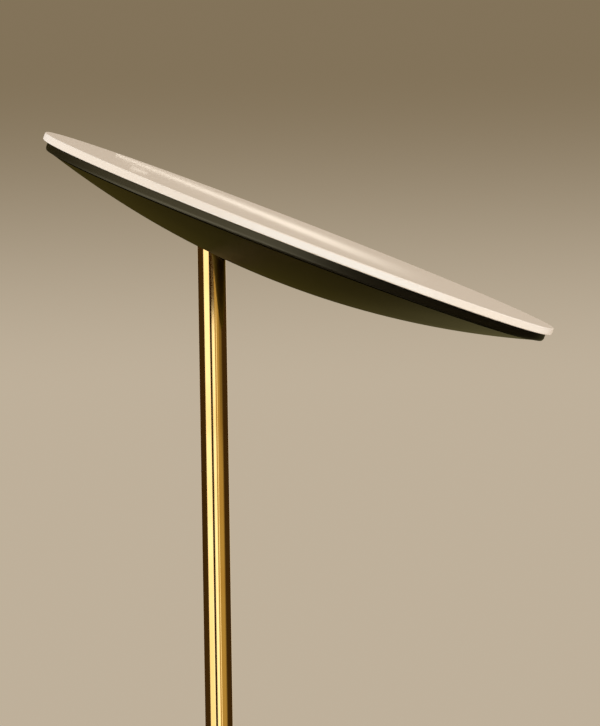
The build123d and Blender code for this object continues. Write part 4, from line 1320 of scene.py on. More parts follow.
@dataclass
class Switch:
    """Dimmer on the pole: housing, front cover, push button and set screws."""

    radius: float = 0.013
    button_radius: float = 0.0045
    button_flange: float = 0.0009
    button_flange_thickness: float = 0.0009
    button_proud: float = 0.0017
    button_round: float = 0.0006
    dimple_radius: float = 0.0032
    dimple_depth: float = 0.00035
    screw_radius: float = 0.002
    screw_length: float = 0.0044
    screw_chamfer: float = 0.0003
    hex_flats: float = 0.0018
    button_sides: int = 96
    button_round_parts: int = 6
    dimple_parts: int = 8
    screw_sides: int = 24
    screw_count: int = 2

    def level(self) -> float:
        """Level of the switch's middle."""
        low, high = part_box("switch_housing")
        return (low.z + high.z) / 2

    def build(self) -> None:
        """Make the button and the set screws."""
        brass = Finishes.TURNED_BRASS
        add_piece("push_button", self.button(), Body.BUTTON, brass, "dimmer_button")
        add_piece("grub_screws", self.screws(), Body.STAND, Finishes.ZINC, "set_screws")

    def dress(self) -> None:
        """Finish the housing and what is inside it."""
        dress_nodes(Finishes.BLACK_PLASTIC, "switch_housing", "switch_cover", "tact_switch")
        dress_nodes(Finishes.GREEN_BOARD, "dimmer_board")

    def button(self) -> bpy.types.Mesh:
        """Make the round button with a finger dimple and a flange behind the cover.

        Returns:
            The mesh, in place.
        """
        _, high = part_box("dimmer_button")
        back, stop = -high.y, -high.y + self.button_flange_thickness
        front, edge = self.radius + self.button_proud, self.button_round
        outer, flange = self.button_radius, self.button_radius + self.button_flange
        ball = (self.dimple_radius**2 + self.dimple_depth**2) / (2 * self.dimple_depth)
        spread = math.asin(self.dimple_radius / ball)
        outline = Outline().path((0.0, back), (flange, back), (flange, stop))
        outline.path((flange, stop), (outer, stop), (outer, front - edge))
        outline.arc((outer - edge, front - edge), edge, 0.0, QUARTER, self.button_round_parts)
        outline.line((outer - edge, front), (self.dimple_radius, front))
        centre = (0.0, front - self.dimple_depth + ball)
        outline.arc(centre, ball, -QUARTER + spread, -QUARTER, self.dimple_parts)
        place = Matrix.Translation((0.0, 0.0, self.level())) @ Matrix.Rotation(QUARTER, 4, "X")
        return turned("push_button", outline, self.button_sides, place)

    def screws(self) -> bpy.types.Mesh:
        """Set the grub screws at the back of the housing, by the places that the frame gives.

        Returns:
            The mesh, in place.
        """
        low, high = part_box("set_screws")
        step = high.z - low.z - 2 * self.screw_radius
        screw = self.screw()
        screw.transform(Matrix.Translation((0.0, high.y, 0.0)) @ Matrix.Rotation(-QUARTER, 4, "X"))
        values = {"Count": self.screw_count, "Step": step}
        mesh = row_tree().make("grub_screws", screw, Finishes.ZINC, values)
        mesh.transform(Matrix.Translation((0.0, 0.0, self.level())))
        return mesh

    def screw(self) -> bpy.types.Mesh:
        """Make one grub screw with a hexagon socket.

        Returns:
            The mesh, its top on the XY plane.
        """
        outer, tip = round_reach(self.screw_radius), round_reach(self.screw_radius - self.screw_chamfer)
        socket = hexagon_reach(self.hex_flats)
        rings = [
            (tip, -self.screw_length),
            (outer, self.screw_chamfer - self.screw_length),
            (outer, -self.screw_chamfer),
            (tip, 0.0),
            (socket, 0.0),
            (socket, -self.screw_length / 2),
        ]
        return lofted("grub_screw", rings, self.screw_sides)


@dataclass
class Hinge:
    """Friction hinge hidden in the dish, and the lead that bends across it."""

    lead_radius: float = 0.0015
    lead_start: Triple = (0.0051, 0.0, 1.738)
    lead_corner: Triple = (0.0051, 0.0, 1.744009)
    lead_end: Triple = (0.028186, 0.0, 1.734682)
    lead_order: int = 3
    lead_parts: int = 24
    lead_sides: int = 24

    def build(self) -> None:
        """Make the lead, which runs from the stand at its start to the head at its end, on neither body."""
        curve = bpy.data.curves.new("hinge_route", "CURVE")
        curve.dimensions = "3D"
        curve.resolution_u = self.lead_parts
        spline = curve.splines.new("NURBS")
        route = (self.lead_start, self.lead_corner, self.lead_end)
        spline.points.add(len(route) - 1)
        for point, spot in zip(spline.points, route):
            point.co = (*spot, 1.0)
        spline.order_u = self.lead_order
        spline.use_endpoint_u = True
        sizes = {"Radius": self.lead_radius, "Sides": self.lead_sides}
        mesh = lead_tree().make("bending_lead", curve, Finishes.SHEATH, sizes)
        piece = add_piece("bending_lead", mesh, None, Finishes.SHEATH, "hinge_lead")
        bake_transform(piece)

    def dress(self) -> None:
        """Finish the hinge's own pieces."""
        dress_nodes(Finishes.ZINC, "hinge_knuckle", "hinge_ear_front", "hinge_ear_rear", "ear_screws")
        dress_nodes(Finishes.ZINC, "hinge_bolt", "disc_spring", "hinge_nut")
        dress_nodes(Finishes.FIBRE, "friction_washers")


@dataclass
class Head:
    """Lamp head: opal disc over a black dish, with the light's parts inside."""

    offset: float = 0.0469
    pivot_drop: float = 0.021909
    disc_radius: float = 0.150
    disc_edge: float = 0.004
    disc_wall: float = 0.002
    disc_round: float = 0.0006
    overhang: float = 0.003
    skirt_wall: float = 0.0025
    rim_height: float = 0.0041
    bowl_depth: float = 0.0232
    sheet: float = 0.001
    groove_lip: float = 0.0037
    groove_depth: float = 0.0047
    groove_height: float = 0.0007
    band_round: float = 0.0025
    band_turn: float = math.radians(40)
    gap_height: float = 0.0004
    gap_depth: float = 0.0005
    slot_half_width: float = 0.0085
    slot_reach: float = 0.01684
    slot_grow: float = 0.0009
    boss_radius: float = 0.004
    boss_circle: float = 0.10467
    boss_hole: float = 0.0016
    boss_hole_depth: float = 0.0025
    bosses: int = 4
    board_top: float = -0.012409
    carrier_bottom: float = -0.015409
    chip_width: float = 0.0035
    chip_height: float = 0.0008
    chip_chamfer: float = 0.00015
    chip_window: float = 0.0027
    chip_recess: float = 0.0002
    first_ring: float = 0.026
    ring_step: float = 0.024
    chip_spacing: float = 0.022
    rings: int = 4
    seat_gap: float = 0.0003
    sides: int = 320
    under_parts: int = 12
    top_parts: int = 24
    edge_parts: int = 6
    bowl_parts: int = 48
    band_round_parts: int = 8
    seam_parts: int = 2
    slot_parts: int = 24
    boss_sides: int = 24
    chip_sides: int = 16

    def __post_init__(self) -> None:
        """Work out the dish and its groove from the driving sizes, and the head's place from the hinge."""
        hinge = next(joint for joint in frame["joints"] if joint["name"] == "head_tilt")
        tilt = math.radians(-hinge["range_deg"][0])
        pivot = Matrix.Translation(hinge["pos_m"]) @ Matrix.Rotation(tilt, 4, "Y")
        self.place = pivot @ Matrix.Translation((self.offset, 0.0, self.pivot_drop))
        self.dish_radius = self.disc_radius - self.overhang
        self.rim_top = -self.disc_edge
        self.bottom = self.rim_top - self.rim_height - self.bowl_depth
        self.bowl_radius = (self.dish_radius**2 + self.bowl_depth**2) / (2 * self.bowl_depth)
        self.bowl_centre = (0.0, self.bottom + self.bowl_radius)
        self.inner_bowl = self.bowl_radius - self.sheet
        self.lip = self.dish_radius - self.groove_lip
        self.lip_level = self.bowl_level(self.lip, 0.0)
        self.root = (self.dish_radius - self.groove_depth, self.lip_level + self.groove_height / 2)
        self.root_top = (self.root[0], self.bowl_level(self.root[0], self.sheet))

    def build(self) -> None:
        """Make the disc, the dish and the light's chips."""
        head, lacquer = Body.HEAD, Finishes.LACQUER
        add_piece("opal_disc", self.disc(), head, Finishes.OPAL, "diffuser")
        add_piece("dish_shell", self.bowl(), head, lacquer, "dish")
        add_piece("dish_band", self.band(), head, lacquer, "dish")
        add_piece("light_chips", self.chips(), head, Finishes.PHOSPHOR, "led_chips")

    def dress(self) -> None:
        """Finish the pieces that keep their own shape."""
        dress_nodes(Finishes.BLACK_PLASTIC, "slot_liner")
        dress_nodes(Finishes.WHITE_PLASTIC, "reflector_ring", "driver_case", "board_connector")
        dress_nodes(Finishes.ALUMINIUM, "carrier_plate")
        dress_nodes(Finishes.ZINC, "carrier_screws", "driver_screws")
        dress_nodes(Finishes.GREEN_BOARD, "driver_board")
        dress_nodes(Finishes.WHITE_BOARD, "led_board")
        dress_nodes(Finishes.SHEATH, "led_lead")

    def bowl_level(self, radius: float, inset: float) -> float:
        """Level of the bowl's surface, moved inwards by inset, at a radius."""
        return self.bowl_centre[1] - math.sqrt((self.bowl_radius - inset) ** 2 - radius**2)

    def disc(self) -> bpy.types.Mesh:
        """Make the opal disc, with rounded edges and a skirt inside the dish's rim.

        Returns:
            The mesh, in place.
        """
        outer, edge, low, under = self.disc_radius, self.disc_round, self.rim_top, -self.disc_wall
        skirt_outer = self.dish_radius - self.sheet - self.seat_gap
        skirt_inner = skirt_outer - self.skirt_wall
        skirt_low = self.bowl_level(skirt_outer, self.sheet) + self.seat_gap
        outline = Outline().line((0.0, under), (skirt_inner, under), self.under_parts)
        outline.path((skirt_inner, under), (skirt_inner, skirt_low), (skirt_outer, skirt_low))
        outline.path((skirt_outer, skirt_low), (skirt_outer, low), (outer - edge, low))
        outline.arc((outer - edge, low + edge), edge, -QUARTER, 0.0, self.edge_parts)
        outline.line((outer, low + edge), (outer, -edge))
        outline.arc((outer - edge, -edge), edge, 0.0, QUARTER, self.edge_parts)
        outline.line((outer - edge, 0.0), (0.0, 0.0), self.top_parts)
        return turned("opal_disc", outline, self.sides, self.place)

    def bowl(self) -> bpy.types.Mesh:
        """Make the dish's pressed bowl up to its groove, with a slot for the pole and bosses inside.

        Returns:
            The mesh, in place.
        """
        lip_angle = -math.acos(self.lip / self.bowl_radius)
        root_angle = -math.acos(self.root[0] / self.inner_bowl)
        outline = Outline().arc(self.bowl_centre, self.bowl_radius, -QUARTER, lip_angle, self.bowl_parts)
        outline.path((self.lip, self.lip_level), self.root, self.root_top)
        outline.arc(self.bowl_centre, self.inner_bowl, root_angle, -QUARTER, self.bowl_parts)
        shell = turned("dish_shell", outline, self.sides, self.place)
        shell = cut(shell, self.slot(), outline, self.place)
        return joined("dish_shell", shell, self.dish_bosses())

    def band(self) -> bpy.types.Mesh:
        """Make the dish's band above its groove, with a rolled lower edge and a gap under the disc.

        Returns:
            The mesh, in place.
        """
        outer, inner, top = self.dish_radius, self.dish_radius - self.sheet, self.rim_top
        low = self.lip_level + self.groove_height
        edge, turn, gap = self.band_round, self.band_turn, outer - self.gap_depth
        edge_level, gap_level = low + edge * math.sin(turn), top - self.gap_height
        inner_angle, root_angle = [-math.acos(radius / self.inner_bowl) for radius in (inner, self.root[0])]
        outline = Outline().path(self.root, (outer - edge * (1.0 - math.cos(turn)), low))
        outline.arc((outer - edge, edge_level), edge, -turn, 0.0, self.band_round_parts)
        outline.path((outer, edge_level), (outer, gap_level), (gap, gap_level), (gap, top))
        outline.path((gap, top), (inner, top), (inner, self.bowl_level(inner, self.sheet)))
        outline.arc(self.bowl_centre, self.inner_bowl, inner_angle, root_angle, self.seam_parts)
        outline.line(self.root_top, self.root)
        return turned("dish_band", outline, self.sides, self.place)

    def slot(self) -> bpy.types.Mesh:
        """Make the body of the slot that the pole moves in, with round ends.

        Returns:
            The mesh, in place.
        """
        half = self.slot_half_width + self.slot_grow
        ends = (self.slot_reach - self.slot_half_width - self.offset, -self.offset)
        corners = []
        for middle, start in zip(ends, (-QUARTER, QUARTER)):
            for index in range(self.slot_parts + 1):
                angle = start + math.pi * index / self.slot_parts
                corners.append((middle + half * math.cos(angle), half * math.sin(angle)))
        return prism("pole_slot", corners, self.bottom - self.sheet, self.rim_top, self.place)

    def dish_bosses(self) -> bpy.types.Mesh:
        """Make the bosses for the light's plate, seated in the bowl's sheet.

        Returns:
            The mesh, in place.
        """
        outer, hole, top = round_reach(self.boss_radius), round_reach(self.boss_hole), self.carrier_bottom
        rings = [(outer, self.bottom), (outer, top), (hole, top), (hole, top - self.boss_hole_depth)]
        boss = lofted("boss", rings, self.boss_sides)
        for vertex in boss.vertices:
            reach = math.hypot(self.boss_circle + vertex.co.x, vertex.co.y)
            vertex.co.z = max(vertex.co.z, self.bowl_level(reach, self.sheet / 2))
        spacing = FULL_TURN * self.boss_circle / self.bosses
        sizes = {"First radius": self.boss_circle, "Ring step": 0.0, "Spacing": spacing}
        mesh = ring_tree(1).make("dish_bosses", boss, Finishes.LACQUER, sizes)
        mesh.transform(self.place)
        return mesh

    def chips(self) -> bpy.types.Mesh:
        """Set the light chips in rings on their board.

        Returns:
            The mesh, in place.
        """
        body, window = square_reach(self.chip_width), round_reach(self.chip_window / 2)
        crown, top = square_reach(self.chip_width - 2 * self.chip_chamfer), self.chip_height
        rings = [
            (body, 0.0),
            (body, top - self.chip_chamfer),
            (crown, top),
            (window, top),
            (window, top - self.chip_recess),
        ]
        chip = lofted("chip", rings, self.chip_sides)
        sizes = {"First radius": self.first_ring, "Ring step": self.ring_step, "Spacing": self.chip_spacing}
        mesh = ring_tree(self.rings).make("light_chips", chip, Finishes.PHOSPHOR, sizes)
        mesh.transform(self.place @ Matrix.Translation((0.0, 0.0, self.board_top)))
        return mesh


FULL_LIGHT = 4.0
NO_LIGHT: Colour = (0.0, 0.0, 0.0)


@dataclass(frozen=True)
class PanelRow:
    """Row of panels round a reflection screen.

    The panels run from the back over the left, the front and the right, each an angle from the front in
    degrees and the light there. The row takes over from the one below it between two levels.
    """

    start: float
    full: float
    panels: tuple[tuple[float, Colour], ...]

    def stops(self) -> list[tuple[float, Colour]]:
        """Ramp stops of the row, as shares of the brightest light, because a ramp holds no more than 1."""
        return [((a + 180.0) / 360.0, tuple(c / FULL_LIGHT for c in light)) for a, light in self.panels]


SHADE: Colour = (0.048, 0.027, 0.010)
DEEP_SHADE: Colour = (0.025, 0.012, 0.005)
GLOW: Colour = (0.47, 0.34, 0.14)
FAINT_GLOW: Colour = (0.22, 0.16, 0.06)
REAR_GLOW: Colour = (1.0, 0.88, 0.70)
WINDOW: Colour = (1.50, 1.45, 1.60)
WARM_WINDOW: Colour = (1.25, 1.15, 1.05)
FLOOR_GLOW: Colour = (0.80, 0.68, 0.52)


def metal_row(
    start: float, full: float, left: Colour, middle: Colour, thin: Colour, side: Colour
) -> PanelRow:
    """Row of panels that the brass mirrors as upright stripes.

    Args:
        start: level where the row starts to show.
        full: level where it has taken over.
        left: light of the wide left panel.
        middle: light of the panel near the middle.
        thin: light of the thin panel on its right.
        side: light further to the right.

    Returns:
        The row.
    """
    return PanelRow(start, full, (
        (-180.0, REAR_GLOW), (-153.0, REAR_GLOW), (-148.0, SHADE), (-60.0, SHADE), (-56.5, left),
        (-24.0, left), (-14.5, WINDOW), (-11.5, DEEP_SHADE), (2.0, DEEP_SHADE), (7.0, middle),
        (24.0, middle), (28.0, GLOW), (36.0, GLOW), (38.0, thin), (41.0, thin), (43.0, GLOW), (57.0, GLOW),
        (64.0, side), (76.0, side), (92.0, SHADE), (168.0, SHADE), (173.0, REAR_GLOW), (180.0, REAR_GLOW),
    ))


FLOOR_ROW = PanelRow(0.0, 0.0, (
    (-180.0, FAINT_GLOW), (-153.0, FAINT_GLOW), (-148.0, SHADE), (-60.0, SHADE), (-56.5, FLOOR_GLOW),
    (-14.5, FLOOR_GLOW), (-11.5, SHADE), (2.0, SHADE), (7.0, FLOOR_GLOW), (24.0, FLOOR_GLOW), (28.0, GLOW),
    (57.0, GLOW), (76.0, FAINT_GLOW), (92.0, SHADE), (168.0, SHADE), (173.0, FAINT_GLOW), (180.0, FAINT_GLOW),
))
METAL_ROWS = (
    FLOOR_ROW,
    metal_row(0.15, 0.75, WARM_WINDOW, WINDOW, WARM_WINDOW, GLOW),
    metal_row(1.00, 1.25, WINDOW, WINDOW, WARM_WINDOW, GLOW),
    metal_row(1.32, 1.52, WINDOW, WINDOW, WARM_WINDOW, FAINT_GLOW),
    metal_row(1.61, 1.67, WINDOW, SHADE, GLOW, DEEP_SHADE),
)

BOWL_SHEEN: Colour = (0.050, 0.037, 0.008)
BOWL_SHADE: Colour = (0.128, 0.094, 0.016)
BOWL_GLOW: Colour = (0.33, 0.28, 0.115)
FRONT_GLOW: Colour = (0.19, 0.155, 0.055)
BOWL_ROWS = (
    PanelRow(0.0, 0.0, ((-180.0, BOWL_SHEEN), (180.0, BOWL_SHEEN))),
    PanelRow(0.45, 0.60, (
        (-180.0, BOWL_GLOW), (-170.0, BOWL_SHADE), (-70.0, BOWL_SHADE), (-25.0, FRONT_GLOW),
        (25.0, FRONT_GLOW), (60.0, BOWL_SHADE), (150.0, BOWL_SHADE), (164.0, BOWL_GLOW), (180.0, BOWL_GLOW),
    )),
)

SHEEN: Colour = (0.03, 0.022, 0.006)
BLACK: Colour = (0.006, 0.004, 0.001)
OLIVE_SHADE: Colour = (0.038, 0.028, 0.003)
OLIVE_GLOW: Colour = (0.25, 0.215, 0.09)
FRONT_WINDOW: Colour = (3.7, 3.35, 2.25)
HIGH_WINDOW: Colour = (1.3, 1.12, 0.62)
BAND_ROWS = (
    PanelRow(0.0, 0.0, ((-180.0, SHEEN), (180.0, SHEEN))),
    PanelRow(0.45, 0.60, (
        (-180.0, OLIVE_GLOW), (-172.0, OLIVE_SHADE), (-115.0, OLIVE_SHADE), (-50.0, FRONT_WINDOW),
        (-2.0, FRONT_WINDOW), (22.0, BLACK), (150.0, BLACK), (164.0, OLIVE_GLOW), (180.0, OLIVE_GLOW),
    )),
    PanelRow(1.50, 1.75, (
        (-180.0, OLIVE_GLOW), (-172.0, OLIVE_SHADE), (-110.0, OLIVE_SHADE), (-45.0, HIGH_WINDOW),
        (2.0, HIGH_WINDOW), (26.0, BLACK), (150.0, BLACK), (164.0, OLIVE_GLOW), (180.0, OLIVE_GLOW),
    )),
)

WALL: Colour = (0.44, 0.325, 0.215)
EDGE_LIGHT: Colour = (1.95, 2.80, 3.40)
SIDE_LIGHT: Colour = (0.75, 0.70, 0.66)


def disc_row(start: float, full: float, front: Colour) -> PanelRow:
    """Row of the disc's own screen: plain wall at the back and an even light on the other sides.

    Args:
        start: level where the row starts to show.
        full: level where it has taken over.
        front: light at the front.

    Returns:
        The row.
    """
    return PanelRow(start, full, (
        (-180.0, WALL), (-158.0, WALL), (-144.0, SIDE_LIGHT), (-80.0, SIDE_LIGHT), (-55.0, front),
        (55.0, front), (80.0, SIDE_LIGHT), (144.0, SIDE_LIGHT), (158.0, WALL), (180.0, WALL),
    ))


DISC_ROWS = (disc_row(0.0, 0.0, EDGE_LIGHT), disc_row(1.75, 1.95, SIDE_LIGHT))


@dataclass(frozen=True)
class OwnScreen:
    """Reflection screen that only one piece mirrors."""

    piece: str
    rows: tuple[PanelRow, ...]
    glimpse: float


# Depths of rays that have met one mirror and two, and how much a screen's light counts after two.
ONE_MIRROR = 1.0
TWO_MIRRORS = 2.0
SECOND_GLIMPSE = 0.3
BOWL_GLIMPSE = 1.7
OWN_SCREENS = (
    OwnScreen("dish_shell", BOWL_ROWS, BOWL_GLIMPSE),
    OwnScreen("dish_band", BAND_ROWS, SECOND_GLIMPSE),
    OwnScreen("opal_disc", DISC_ROWS, SECOND_GLIMPSE),
)


@dataclass(frozen=True)
class Strip:
    """Thin slanted strip of light behind the head."""

    start: Triple
    end: Triple
    start_height: float
    end_height: float


STRIPS = (
    Strip((-0.440, 1.5, 1.9914), (0.080, 1.5, 1.789), 0.0025, 0.012),
    Strip((-0.409, 1.5, 1.990), (-0.3815, 1.5, 1.9786), 0.0022, 0.0022),
)


@dataclass(frozen=True)
class SoftLamp:
    """A soft square lamp."""

    title: str
    spot: Triple
    size: float
    power: float


LAMPS = (
    SoftLamp("lamp_left", (-2.65, -1.47, 2.5), 1.8, 68.0),
    SoftLamp("lamp_right", (2.7, -1.3, 1.9), 1.6, 62.0),
    SoftLamp("lamp_top", (0.4, 0.7, 3.6), 1.8, 10.0),
)


@dataclass
class Studio:
    """Pale floor and backdrop, soft lamps, reflection screens that only gloss sees, and the camera."""

    backdrop: Colour = (0.52, 0.435, 0.325)
    backdrop_high: Colour = (0.225, 0.171, 0.101)
    backdrop_low_slope: float = -0.082
    backdrop_high_slope: float = 0.134
    floor_colour: Colour = (0.60, 0.535, 0.45)
    floor_level: float = -0.0001
    floor_half: float = 9.0
    floor_near: float = 0.5
    floor_far: float = 1.8
    mirror_near: float = 0.15
    mirror_far: float = 0.5
    ambient: Colour = (1.0, 0.95, 0.87)
    ambient_strength: float = 0.45
    screen_radius: float = 1.9
    screen_gap: float = 0.04
    screen_top: float = 4.2
    screen_sides: int = 96
    streak_fade: float = -0.17
    streak_light: float = 1.7
    streak_colour: Colour = (1.0, 0.92, 0.80)
    lamp_colour: Colour = (1.0, 0.925, 0.84)
    lamp_target: Triple = (0.05, 0.0, 1.3)
    image_height: float = 726.0
    focal_pixels: float = 1500.0
    sensor: float = 36.0
    camera_spot: Triple = (0.1783, -0.8324, 1.7215)
    camera_right: Triple = (0.9883, 0.1518, -0.0124)
    camera_back: Triple = (0.1523, -0.9864, 0.0625)
    camera_clip: Point = (0.02, 60.0)

    def build(self) -> None:
        """Set up the whole studio."""
        scene = bpy.context.scene
        scene.view_settings.view_transform = "Standard"
        self.world()
        groups = {own.piece: bpy.data.collections.new(f"{own.piece}_gloss") for own in OWN_SCREENS}
        others = bpy.data.collections.new("other_pieces_gloss")
        for item in scene.objects:
            groups.get(item.name, others).objects.link(item)
        self.floor()
        self.floor_panels(others)
        radius = self.screen_radius
        self.screen("metal_screen", METAL_ROWS, radius, others, SECOND_GLIMPSE)
        for own in OWN_SCREENS:
            radius -= self.screen_gap
            self.screen(f"{own.piece}_screen", own.rows, radius, groups[own.piece], own.glimpse)
        self.streak(groups["opal_disc"])
        self.lamps()
        self.camera()

    def rays(self, tree: NodeTree) -> tuple[Socket, Socket]:
        """Tell rays that show something from rays that only bring light.

        Args:
            tree: tree that asks.

        Returns:
            1 for rays that come straight or through glass, and 1 for rays by gloss; both are 0 for light.
        """
        path = tree.node("ShaderNodeLightPath")
        names = ("Is Camera Ray", "Is Transmission Ray", "Is Glossy Ray")
        camera, glass, gloss = [Socket(tree, path.outputs[name]) for name in names]
        return camera.largest(glass), gloss

    def world(self) -> None:
        """Pale backdrop, a little darker higher up, that also gives a soft light from all round."""
        world = bpy.data.worlds.new("studio")
        world.use_nodes = True
        bpy.context.scene.world = world
        tree = ShaderTree(world.node_tree)
        sockets = {"Color": rgba(self.ambient), "Strength": self.ambient_strength}
        light = tree.read("ShaderNodeBackground", sockets)
        way = tree.node("ShaderNodeSeparateXYZ", {0: tree.read("ShaderNodeTexCoord", output="Generated")})
        rise = tree.step(Socket(tree, way.outputs["Z"]), self.backdrop_low_slope, self.backdrop_high_slope)
        colour = tree.mix(rise, self.backdrop, self.backdrop_high)
        shown = tree.read("ShaderNodeBackground", {"Color": colour, "Strength": 1.0})
        straight, gloss = self.rays(tree)
        mixed = tree.mix_shaders(straight.largest(gloss), light, shown)
        tree.node("ShaderNodeOutputWorld", {"Surface": mixed})

    def floor(self) -> None:
        """Matt floor that takes the lamp's shadow, fades into the backdrop and is clear from below."""
        tree = MaterialTree("floor_pale")
        far = self.away(tree, self.floor_near, self.floor_far)
        straight, _ = self.rays(tree)
        matt = tree.read("ShaderNodeBsdfDiffuse", {"Color": rgba(self.floor_colour)})
        clear = tree.read("ShaderNodeBsdfTransparent")
        seen = tree.mix_shaders(far * straight, matt, clear)
        below = tree.read("ShaderNodeNewGeometry", output="Backfacing")
        tree.end(tree.mix_shaders(below, seen, clear))
        self.sheet("studio_floor", self.floor_level, tree.material)

    def floor_panels(self, receivers: bpy.types.Collection) -> None:
        """Soft panels on the floor, in line with the metal's screen, that only gloss sees.

        Args:
            receivers: pieces that mirror them.
        """
        tree = MaterialTree("floor_panels_light")
        near = 1.0 - self.away(tree, self.mirror_near, self.mirror_far)
        below = tree.read("ShaderNodeNewGeometry", output="Backfacing")
        light = self.panel_light(tree, (FLOOR_ROW,))
        panels = tree.read("ShaderNodeEmission", {"Color": light, "Strength": FULL_LIGHT})
        clear = tree.read("ShaderNodeBsdfTransparent")
        tree.end(tree.mix_shaders(near.largest(below), panels, clear))
        item = self.sheet("floor_panels", self.floor_level / 2, tree.material)
        self.only_in_gloss(item, receivers)

    def away(self, tree: MaterialTree, near: float, far: float) -> Socket:
        """Measure how far from the pole's axis a spot lies.

        Args:
            tree: the material's tree.
            near: distance that counts as 0.
            far: distance that counts as 1.

        Returns:
            A value from 0 to 1.
        """
        spot = tree.place((1.0, 1.0, 0.0))
        distance = tree.read("ShaderNodeVectorMath", {0: spot}, "Value", operation="LENGTH")
        return tree.step(distance, near, far)

    def sheet(self, title: str, level: float, material: bpy.types.Material) -> bpy.types.Object:
        """Put a large flat square into the scene as part of the stage.

        Args:
            title: its name.
            level: its level.
            material: its material.

        Returns:
            The new object.
        """
        half = self.floor_half
        corners = [(-half, -half), (half, -half), (half, half), (-half, half)]
        return self.stage(title, [(x, y, level) for x, y in corners], [[0, 1, 2, 3]], material)

    def stage(
        self,
        title: str,
        vertices: Sequence[Triple],
        faces: Sequence[Sequence[int]],
        material: bpy.types.Material,
    ) -> bpy.types.Object:
        """Put a mesh into the scene as part of the stage.

        Args:
            title: its name.
            vertices: its vertices.
            faces: its faces.
            material: its material.

        Returns:
            The new object.
        """
        mesh = new_mesh(title, vertices, faces)
        mesh.materials.append(material)
        item = bpy.data.objects.new(title, mesh)
        bpy.context.scene.collection.objects.link(item)
        return item

    def panel_light(self, tree: MaterialTree, panel_rows: Sequence[PanelRow]) -> Socket:
        """Light of rows of panels, as a share of the brightest light.

        Args:
            tree: material that shows the panels.
            panel_rows: the rows, from the floor up.

        Returns:
            The light's colour at a spot.
        """
        spot = tree.node("ShaderNodeSeparateXYZ", {0: tree.place()})
        x, y, z = [Socket(tree, output) for output in spot.outputs]
        turn = x.angle_from(-1.0 * y) / FULL_TURN + 0.5
        rows = [tree.read("ShaderNodeValToRGB", {0: turn}, stops=row.stops()) for row in panel_rows]
        light = rows[0]
        for row, colour in zip(panel_rows[1:], rows[1:]):
            light = tree.mix(tree.step(z, row.start, row.full), light, colour)
        return light

    def screen(
        self,
        title: str,
        panel_rows: Sequence[PanelRow],
        radius: float,
        receivers: bpy.types.Collection,
        glimpse: float,
    ) -> None:
        """Round screen of light and dark panels, seen only in the gloss of some pieces.

        Args:
            title: the screen's name.
            panel_rows: its rows of panels, from the floor up.
            radius: its radius.
            receivers: pieces that mirror it.
            glimpse: share of its light where other pieces mirror those pieces.
        """
        tree = MaterialTree(f"{title}_panels")
        light = self.panel_light(tree, panel_rows)
        depth = tree.read("ShaderNodeLightPath", output="Ray Depth")
        peak = max(glimpse, 1.0)
        again = tree.step(depth, ONE_MIRROR, TWO_MIRRORS)
        dimming = (1.0 - 1.0 / peak) + again * ((1.0 - glimpse) / peak)
        self.shine(tree, tree.mix(dimming, light, NO_LIGHT), FULL_LIGHT * peak, radius < self.screen_radius)
        vertices = [
            (radius * math.sin(angle), radius * math.cos(angle), level)
            for level in (0.0, self.screen_top)
            for angle in angles_round(self.screen_sides)
        ]
        item = self.stage(title, vertices, ring_faces(2, self.screen_sides), tree.material)
        self.only_in_gloss(item, receivers)

    def streak(self, receivers: bpy.types.Collection) -> None:
        """Thin strips of light behind the head that only gloss sees.

        Args:
            receivers: pieces that mirror them.
        """
        vertices = []
        for strip in STRIPS:
            for (x, y, z), height in ((strip.start, strip.start_height), (strip.end, strip.end_height)):
                vertices.append((x, y, z - height / 2))
                vertices.append((x, y, z + height / 2))
        faces = [[first, first + 2, first + 3, first + 1] for first in range(0, len(vertices), 4)]
        tree = MaterialTree("strip_light")
        along = Socket(tree, tree.node("ShaderNodeSeparateXYZ", {0: tree.place()}).outputs["X"])
        fade = tree.step(along, self.streak_fade, STRIPS[0].end[0])
        self.shine(tree, tree.mix(fade, self.streak_colour, NO_LIGHT), self.streak_light, True)
        self.only_in_gloss(self.stage("streak_strip", vertices, faces, tree.material), receivers)

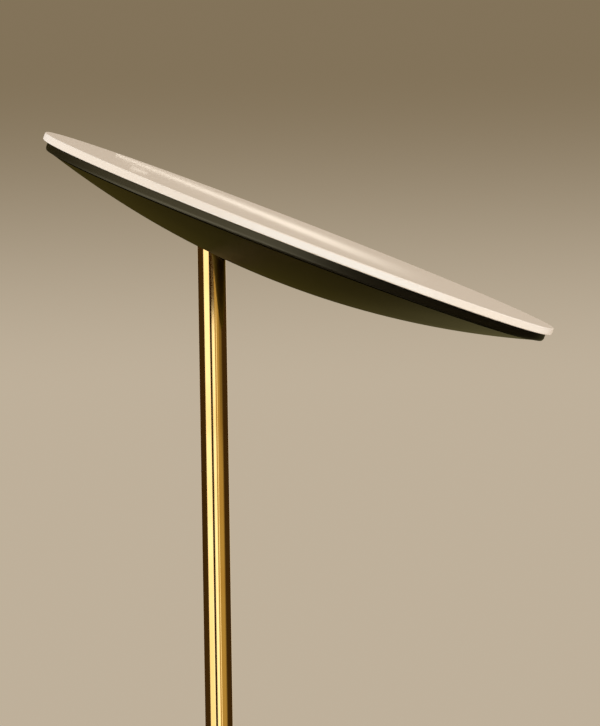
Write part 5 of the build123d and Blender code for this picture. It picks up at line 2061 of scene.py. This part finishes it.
    def shine(self, tree: MaterialTree, colour: Socket, strength: float, clear: bool) -> None:
        """End a material in plain light.

        Args:
            tree: the material's tree.
            colour: the light's colour.
            strength: the light's strength.
            clear: whether what is behind it shows through.
        """
        light = tree.read("ShaderNodeEmission", {"Color": colour, "Strength": strength})
        if clear:
            light = tree.read("ShaderNodeAddShader", {0: light, 1: tree.read("ShaderNodeBsdfTransparent")})
        tree.end(light)

    def only_in_gloss(self, item: bpy.types.Object, receivers: bpy.types.Collection) -> None:
        """Hide a piece of the stage from all but the reflections of some pieces.

        Args:
            item: the piece of the stage.
            receivers: pieces that mirror it.
        """
        item.light_linking.receiver_collection = receivers
        item.visible_camera = False
        item.visible_diffuse = False
        item.visible_transmission = False
        item.visible_shadow = False

    def lamps(self) -> None:
        """Soft lamps, which gloss doesn't see."""
        for plan in LAMPS:
            data = bpy.data.lights.new(plan.title, "AREA")
            data.shape = "SQUARE"
            data.size = plan.size
            data.energy = plan.power
            data.color = self.lamp_colour
            lamp = bpy.data.objects.new(plan.title, data)
            lamp.location = plan.spot
            aim = Vector(self.lamp_target) - Vector(plan.spot)
            lamp.rotation_euler = aim.to_track_quat("-Z", "Y").to_euler()
            lamp.visible_glossy = False
            lamp.visible_camera = False
            bpy.context.scene.collection.objects.link(lamp)

    def camera(self) -> None:
        """Camera at the photograph's place: beside the head, a little above the disc's plane."""
        right, back = Vector(self.camera_right).normalized(), Vector(self.camera_back)
        up = back.cross(right).normalized()
        back = right.cross(up)
        data = bpy.data.cameras.new("camera")
        data.sensor_width = self.sensor
        data.lens = self.focal_pixels / self.image_height * self.sensor
        data.clip_start, data.clip_end = self.camera_clip
        camera = bpy.data.objects.new("camera", data)
        bpy.context.scene.collection.objects.link(camera)
        turn = Matrix((right, up, back)).transposed()
        camera.matrix_world = Matrix.Translation(self.camera_spot) @ turn.to_4x4()
        bpy.context.scene.camera = camera


def main() -> None:
    """Build and dress the lamp, and set up the studio."""
    logging.basicConfig(level=logging.INFO, format="%(name)s: %(message)s")
    for assembly in (Base(), Pole(), Switch(), Hinge(), Head()):
        assembly.build()
        assembly.dress()
    Studio().build()


if __name__ == "__main__":
    main()
